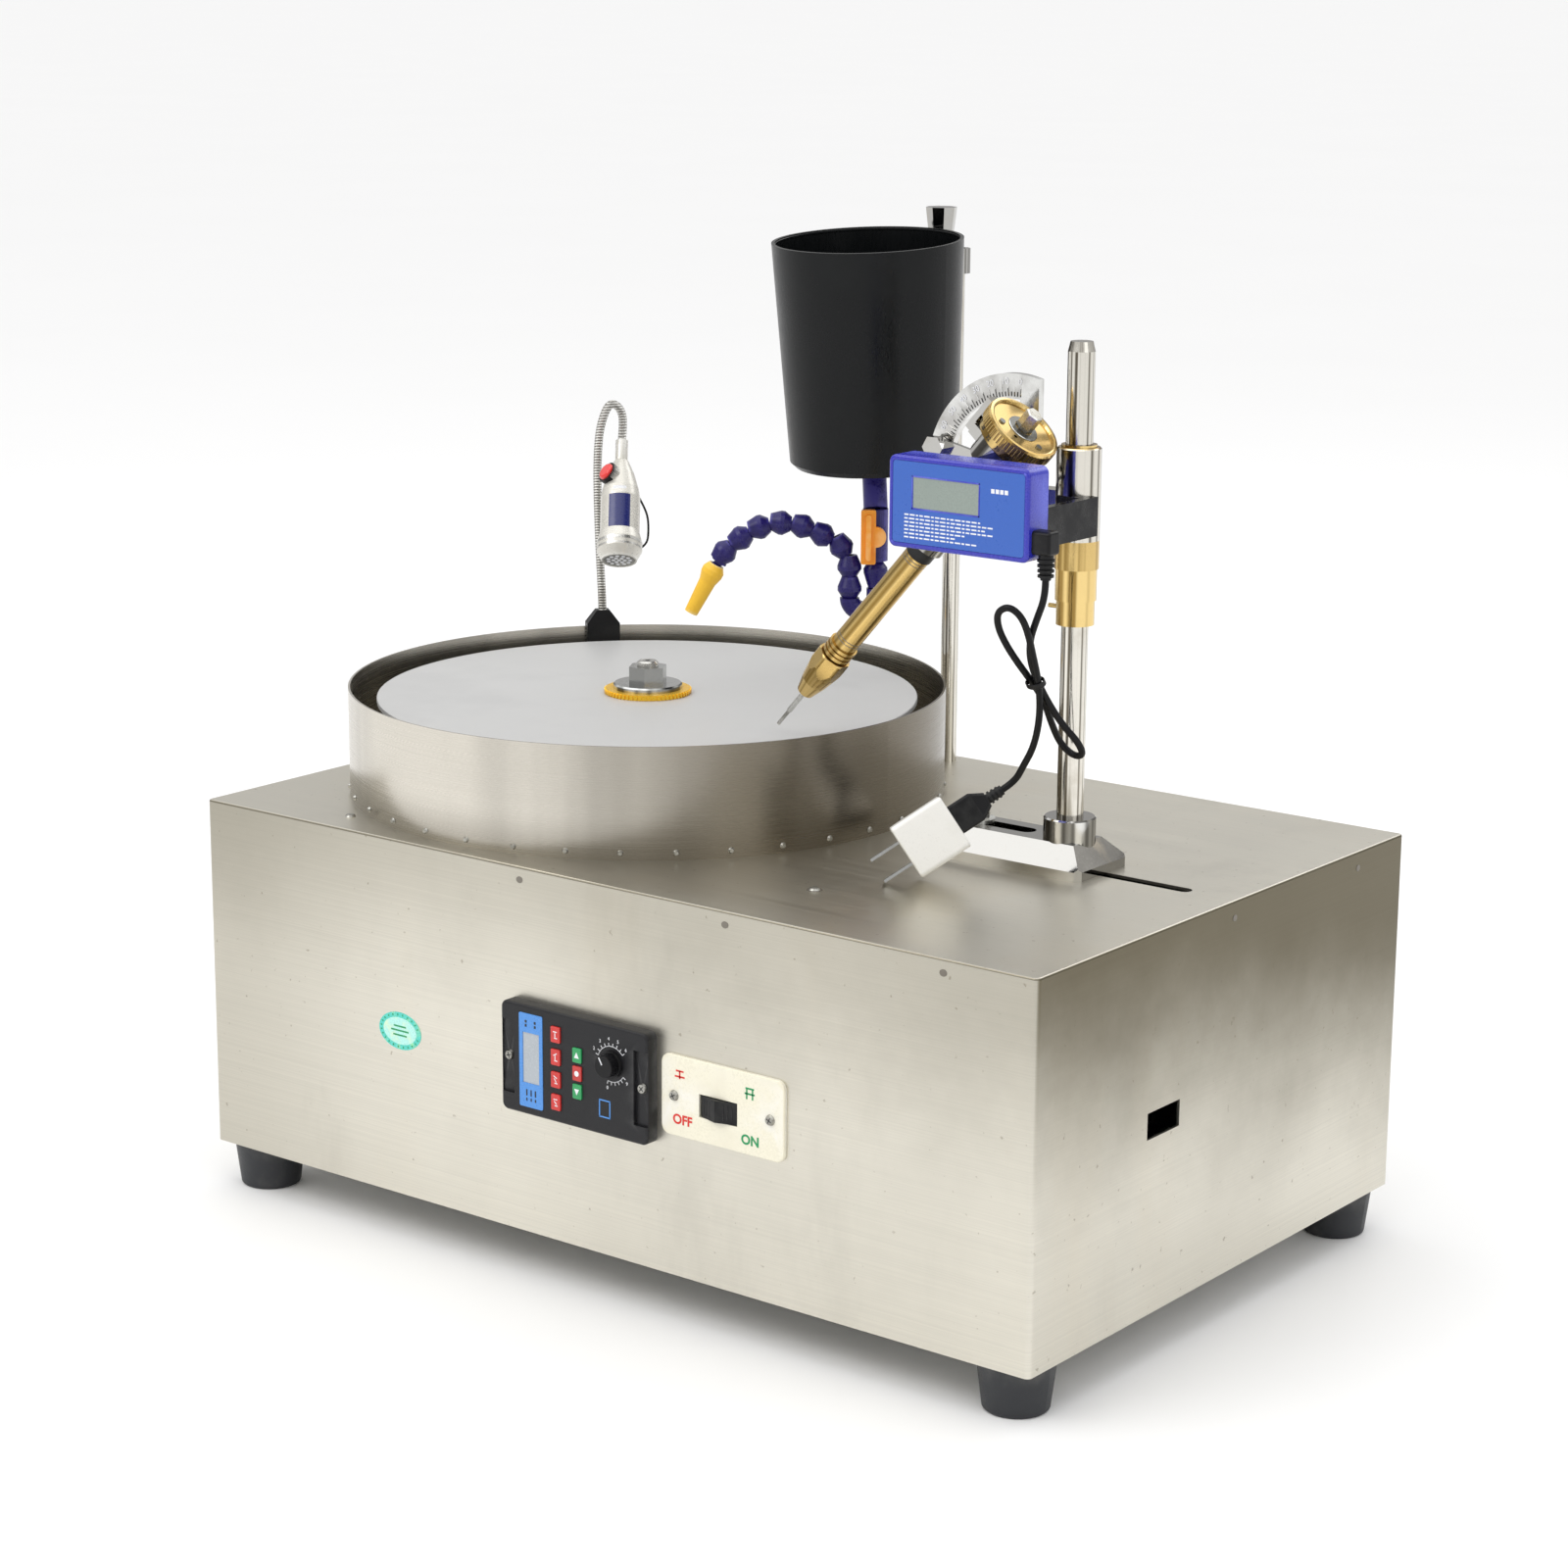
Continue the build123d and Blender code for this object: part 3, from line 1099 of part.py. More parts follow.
hose_end = along(arch_line, arch_line.length)
BALL_RADIUS = 3.9
with BuildPart() as hose_run:
    add(segments)
    # ball that carries the nozzle
    with BuildSketch(hose_end.offset(-1)):
        Circle(4.6)
    extrude(amount=1)
    with BuildSketch(hose_end.offset(-1)):
        Circle(2.4)
    extrude(amount=5)
    with Locations(hose_end.offset(4.2)):
        Sphere(BALL_RADIUS)
    with BuildSketch(hose_end.offset(-2)):
        Circle(1.5)
    extrude(amount=14, mode=Mode.SUBTRACT)
    # return bend under the valve
    elbow_middle = (Vector(*DOWN_LEG, ELBOW_Z) + Vector(*UP_LEG, ELBOW_Z)) / 2
    with BuildLine() as elbow_path:
        Line((*DOWN_LEG, ELBOW_Z + 5.6), (*DOWN_LEG, ELBOW_Z))
        ThreePointArc((*DOWN_LEG, ELBOW_Z), tuple(elbow_middle - Vector(0, 0, ELBOW_RADIUS)),
                      (*UP_LEG, ELBOW_Z))
    with BuildSketch(elbow_path.line ^ 0):
        Circle(5.6)
    sweep(path=elbow_path.line)
finish(hose_run, "hose_run")

nozzle_start = hose_end.offset(4.2).origin
NOZZLE_TIP = Vector(-105.5, 37.2, 321.7)
NOZZLE_LENGTH = (NOZZLE_TIP - nozzle_start).length
nozzle_plane = Plane(origin=nozzle_start, x_dir=OUT, z_dir=(NOZZLE_TIP - nozzle_start).normalized())
nozzle_section = Plane(origin=nozzle_start, x_dir=nozzle_plane.x_dir, z_dir=-nozzle_plane.y_dir)
SOCKET_RADIUS = BALL_RADIUS + RUNNING_FIT
SOCKET_MOUTH = radians(55)
with BuildPart() as nozzle:
    with BuildSketch(nozzle_section):
        with BuildLine():
            Polyline((SOCKET_RADIUS * sin(SOCKET_MOUTH), -SOCKET_RADIUS * cos(SOCKET_MOUTH)),
                     (4.4, -SOCKET_RADIUS * cos(SOCKET_MOUTH)), (6.4, 1.2), (6.4, 4), (4.9, 9),
                     (3.9, NOZZLE_LENGTH), (2, NOZZLE_LENGTH), (2, (SOCKET_RADIUS ** 2 - 4) ** 0.5))
            ThreePointArc((2, (SOCKET_RADIUS ** 2 - 4) ** 0.5), (SOCKET_RADIUS, 0),
                          (SOCKET_RADIUS * sin(SOCKET_MOUTH), -SOCKET_RADIUS * cos(SOCKET_MOUTH)))
        make_face()
    revolve(axis=Axis(nozzle_plane.origin, nozzle_plane.z_dir))
finish(nozzle, "nozzle")

# ================================================================= lamp
LAMP_X, LAMP_Y = -236.4, 112.0
with BuildPart() as lamp_base:
    lamp_spot = Plane(origin=(LAMP_X, LAMP_Y, DECK + RING_HEIGHT - 14), x_dir=(-0.65, -0.76, 0),
                      z_dir=(0, 0, 1))
    with BuildSketch(lamp_spot):
        Rectangle(20, 10)
    extrude(amount=16)
    with BuildSketch(lamp_spot.offset(16)):
        Rectangle(20, 10)
    with BuildSketch(lamp_spot.offset(24)):
        Rectangle(8, 7)
    loft()
    # groove that grips the ring's rim
    with BuildSketch(upright(SPINDLE_X, SPINDLE_Y, DECK)):
        Circle(RING_RADIUS + 0.05)
        Circle(RING_RADIUS - RING_WALL - 0.05, mode=Mode.SUBTRACT)
    extrude(amount=RING_HEIGHT, mode=Mode.SUBTRACT)
    with BuildSketch(upright(LAMP_X, LAMP_Y, DECK + RING_HEIGHT + 6)):
        Circle(2.5 + RUNNING_FIT)
    extrude(amount=10, mode=Mode.SUBTRACT)
finish(lamp_base, "lamp_base")

LAMP_DIR = Vector(0.324, -0.419, -0.848).normalized()
FERRULE_START = Vector(-231.6, 125.3, 399)
NECK_ROUTE = [(LAMP_X, LAMP_Y, DECK + RING_HEIGHT + 6.5), (-237.6, 112.0, 320), (-238.8, 111.2, 360),
              (-238.4, 111.5, 398), (-237.2, 114.5, 413.5), (-235.2, 120.5, 421.5), (-233.9, 126.2, 418),
              (-233.3, 128.3, 409), tuple(FERRULE_START + LAMP_DIR * 1.2)]
with BuildPart() as gooseneck:
    with BuildLine() as neck_path:
        Spline(*NECK_ROUTE, tangents=((0, 0, 1), tuple(LAMP_DIR)))
    with BuildSketch(neck_path.line ^ 0):
        Circle(2.5)
    sweep(path=neck_path.line)
    # ball that carries the lamp head
    with Locations(tuple(FERRULE_START + LAMP_DIR * 1.2)):
        Sphere(3)
finish(gooseneck, "gooseneck")


def lamp_plane(distance):
    """A plane square to the lamp head, at a distance down its axis from the ferrule's top."""
    return Plane(origin=FERRULE_START + LAMP_DIR * distance, x_dir=SIDE, z_dir=LAMP_DIR)


HEAD_LENGTH = 78
LENS_RADIUS = 9.6
lamp_section = Plane(origin=FERRULE_START, x_dir=lamp_plane(0).x_dir, z_dir=-lamp_plane(0).y_dir)
button_dir = (-Vector(*SIDE) * 0.72 + lamp_plane(0).y_dir * 0.62 - LAMP_DIR * 0.3).normalized()
button_plane = Plane(origin=FERRULE_START + LAMP_DIR * 27, z_dir=button_dir)
with BuildPart() as lamp_head:
    with BuildSketch(lamp_section):
        with BuildLine():
            ThreePointArc((0, 4.25), (3.05, 1.2), (2.83, 0.06))
            Polyline((2.83, 0.06), (3.8, 0.06), (3.8, 13), (4.6, 14), (8, 22), (11, 32), (11.9, 38),
                     (11.9, 60), (13.6, 66), (13.6, 72), (10.6, HEAD_LENGTH), (LENS_RADIUS, HEAD_LENGTH),
                     (LENS_RADIUS, HEAD_LENGTH - 2.5), (7.5, HEAD_LENGTH - 2.5), (6.5, 66), (0, 66),
                     (0, 4.25))
        make_face()
    revolve(axis=Axis(FERRULE_START, LAMP_DIR))
    with BuildSketch(button_plane.offset(4)):
        Circle(6.6)
    extrude(amount=7.6)
    with BuildSketch(button_plane.offset(12)):
        Circle(5.4 + RUNNING_FIT)
    extrude(amount=-4, mode=Mode.SUBTRACT)
finish(lamp_head, "lamp_head")

with BuildPart() as lamp_lens:
    with BuildSketch(lamp_plane(HEAD_LENGTH - 2.5)):
        Circle(LENS_RADIUS)
    extrude(amount=2.1)
finish(lamp_lens, "lamp_lens")

with BuildPart() as lamp_button:
    with BuildSketch(button_plane.offset(9.6)):
        Circle(5.4)
    extrude(amount=4)
    fillet(lamp_button.faces().sort_by(Axis(button_plane.origin, button_plane.z_dir))[-1].edges(), 1.8)
finish(lamp_button, "lamp_button")
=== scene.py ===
import math

import bmesh
import bpy
from mathutils import Matrix, Vector


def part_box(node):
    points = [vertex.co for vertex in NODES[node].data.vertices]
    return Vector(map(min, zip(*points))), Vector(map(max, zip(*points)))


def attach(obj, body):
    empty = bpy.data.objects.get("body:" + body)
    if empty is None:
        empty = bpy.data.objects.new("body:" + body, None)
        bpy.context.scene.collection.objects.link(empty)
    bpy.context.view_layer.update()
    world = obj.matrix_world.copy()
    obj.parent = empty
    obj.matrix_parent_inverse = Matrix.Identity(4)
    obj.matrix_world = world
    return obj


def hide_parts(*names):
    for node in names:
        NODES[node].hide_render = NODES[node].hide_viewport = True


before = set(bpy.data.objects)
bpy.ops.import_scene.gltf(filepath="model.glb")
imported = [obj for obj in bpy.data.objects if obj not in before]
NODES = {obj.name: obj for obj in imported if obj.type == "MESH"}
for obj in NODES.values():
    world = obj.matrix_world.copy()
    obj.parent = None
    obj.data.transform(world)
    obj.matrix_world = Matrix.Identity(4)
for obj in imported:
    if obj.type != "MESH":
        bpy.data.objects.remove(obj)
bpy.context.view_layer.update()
MM = 0.001
ROOT = "cabinet_group"


# ---------------------------------------------------------------- node helpers
class Graph:
    """A small wrapper that adds and links shader nodes."""

    def __init__(self, tree):
        self.tree = tree

    def add(self, kind, **settings):
        node = self.tree.nodes.new(kind)
        for key, value in settings.items():
            setattr(node, key, value)
        return node

    def link(self, source, target):
        self.tree.links.new(source, target)

    def noise(self, vector, scale, detail=4.0, rough=0.55):
        node = self.add("ShaderNodeTexNoise")
        node.inputs["Scale"].default_value = scale
        node.inputs["Detail"].default_value = detail
        node.inputs["Roughness"].default_value = rough
        self.link(vector, node.inputs["Vector"])
        return node.outputs["Fac"]

    def scaled(self, vector, scale):
        node = self.add("ShaderNodeMapping")
        node.inputs["Scale"].default_value = scale
        self.link(vector, node.inputs["Vector"])
        return node.outputs["Vector"]

    def ramp(self, value, low, high, dark=0.0, light=1.0):
        node = self.add("ShaderNodeMapRange", interpolation_type="SMOOTHSTEP")
        node.inputs["From Min"].default_value = low
        node.inputs["From Max"].default_value = high
        node.inputs["To Min"].default_value = dark
        node.inputs["To Max"].default_value = light
        self.link(value, node.inputs["Value"])
        return node.outputs["Result"]

    def mix(self, factor, first, second):
        node = self.add("ShaderNodeMix", data_type="RGBA")
        if isinstance(factor, float):
            node.inputs["Factor"].default_value = factor
        else:
            self.link(factor, node.inputs["Factor"])
        for socket, value in (("A", first), ("B", second)):
            target = [s for s in node.inputs if s.name == socket and s.type == "RGBA"][0]
            if isinstance(value, (tuple, list)):
                target.default_value = (*value[:3], 1.0)
            else:
                self.link(value, target)
        return [s for s in node.outputs if s.type == "RGBA"][0]

    def blend(self, factor, first, second):
        """Mix two plain numbers."""
        node = self.add("ShaderNodeMix", data_type="FLOAT")
        self.link(factor, node.inputs[0])
        for index, value in ((2, first), (3, second)):
            if isinstance(value, (int, float)):
                node.inputs[index].default_value = value
            else:
                self.link(value, node.inputs[index])
        return node.outputs[0]

    def math(self, operation, first, second):
        node = self.add("ShaderNodeMath", operation=operation)
        for index, value in enumerate((first, second)):
            if isinstance(value, (int, float)):
                node.inputs[index].default_value = value
            else:
                self.link(value, node.inputs[index])
        return node.outputs[0]

    def bump(self, height, strength, distance=0.0005):
        node = self.add("ShaderNodeBump")
        node.inputs["Strength"].default_value = strength
        node.inputs["Distance"].default_value = distance
        self.link(height, node.inputs["Height"])
        return node.outputs["Normal"]


def tint(color, factor):
    return tuple(min(1.0, c * factor) for c in color)


def start(name):
    made = bpy.data.materials.new(name)
    made.use_nodes = True
    made.node_tree.nodes.clear()
    graph = Graph(made.node_tree)
    shader = graph.add("ShaderNodeBsdfPrincipled")
    output = graph.add("ShaderNodeOutputMaterial")
    graph.link(shader.outputs[0], output.inputs[0])
    place = graph.add("ShaderNodeTexCoord").outputs["Object"]
    return made, graph, shader, place


def surface(name, color, rough, metal=0.0, vary=0.1, grain=(1, 1, 1), grain_scale=900.0, rough_vary=0.08,
            bump=0.08, blotch=14.0, stain=None, stain_amount=0.35, wear=None, coat=0.0, ior=1.5):
    """A procedural finish: fine grain, large soft blotches, stains, worn edges and a fine bump."""
    made, graph, shader, place = start(name)
    fine = graph.noise(graph.scaled(place, grain), grain_scale)
    broad = graph.noise(place, blotch, 5.0, 0.6)
    tone = graph.mix(fine, tint(color, 1 - vary), tint(color, 1 + vary))
    if stain:
        spots = graph.math("MULTIPLY", graph.ramp(broad, 0.5, 0.72), stain_amount)
        tone = graph.mix(spots, tone, stain)
    if wear:
        edge = graph.ramp(graph.add("ShaderNodeNewGeometry").outputs["Pointiness"], 0.53, 0.6)
        rubbed = graph.math("MULTIPLY", edge, graph.ramp(broad, 0.35, 0.6))
        tone = graph.mix(rubbed, tone, wear)
    graph.link(tone, shader.inputs["Base Color"])
    blend = graph.math("ADD", graph.math("MULTIPLY", fine, 0.5), graph.math("MULTIPLY", broad, 0.5))
    graph.link(graph.ramp(blend, 0.3, 0.7, max(0.02, rough - rough_vary), min(1.0, rough + rough_vary)),
               shader.inputs["Roughness"])
    graph.link(graph.bump(fine, bump), shader.inputs["Normal"])
    shader.inputs["Metallic"].default_value = metal
    shader.inputs["Coat Weight"].default_value = coat
    shader.inputs["Coat Roughness"].default_value = 0.08
    shader.inputs["IOR"].default_value = ior
    return made


def brushed_sheet(name, color, rough, line_side, line_top, shade, cloud=3.2):
    """Brushed stainless sheet: level brush lines, cloudy handling marks, specks and painted shade.

    shade holds, for the end panels and for the rest, the height where the painted shade starts and ends and
    how deep it goes."""
    made, graph, shader, place = start(name)
    geometry = graph.add("ShaderNodeNewGeometry")
    split = graph.add("ShaderNodeSeparateXYZ")
    graph.link(geometry.outputs["Normal"], split.inputs[0])
    spot = graph.add("ShaderNodeSeparateXYZ")
    graph.link(place, spot.inputs[0])
    level = graph.math("GREATER_THAN", graph.math("ABSOLUTE", split.outputs["Z"], 0), 0.7)
    side = graph.noise(graph.scaled(place, line_side), 1.0, 6.0, 0.7)
    top = graph.noise(graph.scaled(place, line_top), 1.0, 6.0, 0.7)
    lines = graph.blend(level, side, top)
    clouds = graph.noise(place, cloud, 7.0, 0.62)
    streaks = graph.noise(graph.scaled(place, (9, 9, 1.2)), 1.0, 4.0, 0.6)
    smears = graph.noise(graph.scaled(place, (14, 14, 5)), 1.0, 6.0, 0.65)
    specks = graph.noise(place, 260.0, 2.0, 0.5)
    cloudy = graph.math("MULTIPLY", graph.math("SUBTRACT", clouds, 0.5), 0.12)
    uneven = graph.math("ADD", spot.outputs["Z"], cloudy)
    deeper = graph.math("ADD", uneven, graph.math("MULTIPLY", spot.outputs["Y"], 0.2))
    # painted shade on the end panels: darker towards the top and the far side
    end_shade = graph.ramp(deeper, shade[0], shade[1], 1.0, shade[2])
    # painted shade on the front: darker towards the top and the left
    front_shade = graph.math("MULTIPLY", graph.ramp(uneven, shade[3], shade[4], 1.0, shade[5]),
                             graph.ramp(graph.math("ADD", spot.outputs["X"], cloudy), -0.29, -0.1, 0.7, 1.0))
    end_panel = graph.ramp(graph.math("ABSOLUTE", split.outputs["X"], 0), 0.55, 0.95)
    # painted shade on the slanted fold faces, which would otherwise show a bright edge
    slant = graph.math("ABSOLUTE", graph.math("SUBTRACT", graph.math(
        "MULTIPLY", graph.math("ABSOLUTE", split.outputs["Z"], 0), 2.0), 1.0), 0)
    folds = graph.ramp(slant, 0.5, 0.9, 0.3, 1.0)
    # painted shade: end panel and front shading, a light touch on the level faces, times the folds
    painted_shade = graph.math("MULTIPLY", folds,
                        graph.blend(level, graph.blend(end_panel, front_shade, end_shade), 0.9))
    tone = graph.mix(graph.ramp(lines, 0.25, 0.75), tint(color, 0.93), tint(color, 1.06))
    tone = graph.mix(graph.math("MULTIPLY", graph.ramp(clouds, 0.42, 0.7), 0.35), tone, tint(color, 0.78))
    tone = graph.mix(graph.math("MULTIPLY", graph.ramp(smears, 0.52, 0.72), 0.3), tone, tint(color, 0.72))
    tone = graph.mix(graph.math("MULTIPLY", graph.ramp(streaks, 0.5, 0.75), 0.25), tone, (0.72, 0.64, 0.5))
    tone = graph.mix(graph.math("MULTIPLY", graph.ramp(specks, 0.7, 0.78), 0.5), tone, (0.25, 0.2, 0.14))
    # painted shade colour: the sheet goes towards this dark olive where the painted shade is deepest
    tone = graph.mix(painted_shade, (0.15, 0.13, 0.085), tone)
    graph.link(tone, shader.inputs["Base Color"])
    mixed = graph.math("ADD", graph.math("MULTIPLY", lines, 0.45), graph.math("MULTIPLY", clouds, 0.55))
    graph.link(graph.ramp(mixed, 0.3, 0.72, rough - 0.07, rough + 0.1), shader.inputs["Roughness"])
    graph.link(graph.bump(lines, 0.12, 0.0002), shader.inputs["Normal"])
    shader.inputs["Metallic"].default_value = 1.0
    return made


def ring_sheet(name, color, rough, axis_spot):
    """Rolled stainless strip: fine level brush lines, soft painted reflections as streaks of darker tone
    round the ring, and painted shade towards the bottom and the +x side.
    """
    made, graph, shader, place = start(name)
    shifted = graph.add("ShaderNodeVectorMath", operation="SUBTRACT")
    graph.link(place, shifted.inputs[0])
    shifted.inputs[1].default_value = axis_spot
    lines = graph.noise(graph.scaled(place, (1.5, 1.5, 1700)), 1.0, 6.0, 0.7)
    # painted reflection: soft dark streaks round the ring's axis
    painted_reflection = graph.noise(graph.scaled(shifted.outputs[0], (14, 14, 0.8)), 1.0, 3.0, 0.5)
    clouds = graph.noise(place, 7.0, 6.0, 0.6)
    split = graph.add("ShaderNodeSeparateXYZ")
    graph.link(shifted.outputs[0], split.inputs[0])
    # painted shade: darker towards the bottom of the ring and much darker towards its +x side
    low = graph.ramp(split.outputs["Z"], 0.0, 0.026, 0.5, 1.0)
    turned = graph.ramp(split.outputs["X"], 0.04, 0.165, 1.0, 0.1)
    tone = graph.mix(graph.ramp(lines, 0.25, 0.75), tint(color, 0.92), tint(color, 1.06))
    tone = graph.mix(graph.math("MULTIPLY", graph.ramp(painted_reflection, 0.45, 0.62), 0.5), tone, tint(color, 0.55))
    tone = graph.mix(graph.math("MULTIPLY", graph.ramp(clouds, 0.5, 0.7), 0.25), tone, tint(color, 0.75))
    # painted shade colour for the bottom and the +x side
    tone = graph.mix(graph.math("MULTIPLY", low, turned), (0.14, 0.12, 0.09), tone)
    graph.link(tone, shader.inputs["Base Color"])
    graph.link(graph.ramp(lines, 0.3, 0.7, rough - 0.04, rough + 0.06), shader.inputs["Roughness"])
    graph.link(graph.bump(lines, 0.1, 0.0002), shader.inputs["Normal"])
    shader.inputs["Metallic"].default_value = 1.0
    return made


def facet_metal(name, light, dark, rough, density=2.1, tarnish=(0.4, 0.34, 0.25), metal=1.0):
    """Plated metal: every facet and curve takes its own tone by the way it faces, a painted reflection
    between the light and dark colours, with fine wiping marks and a little tarnish.
    """
    made, graph, shader, place = start(name)
    facing = graph.add("ShaderNodeTexCoord").outputs["Normal"]
    # painted reflection: the tone follows the way the surface faces
    painted_reflection = graph.noise(graph.scaled(facing, (1.0, 1.0, 0.8)), density, 1.0, 0.5)
    fine = graph.noise(place, 700.0, 3.0, 0.6)
    grime = graph.noise(place, 45.0, 5.0, 0.6)
    tone = graph.mix(graph.ramp(painted_reflection, 0.36, 0.58), dark, light)
    tone = graph.mix(graph.math("MULTIPLY", graph.ramp(fine, 0.5, 0.8), 0.12), tone, tint(light, 0.6))
    tone = graph.mix(graph.math("MULTIPLY", graph.ramp(grime, 0.55, 0.8), 0.35), tone, tarnish)
    graph.link(tone, shader.inputs["Base Color"])
    graph.link(graph.ramp(grime, 0.3, 0.7, rough - 0.03, rough + 0.07), shader.inputs["Roughness"])
    graph.link(graph.bump(fine, 0.03, 0.0002), shader.inputs["Normal"])
    shader.inputs["Metallic"].default_value = metal
    return made


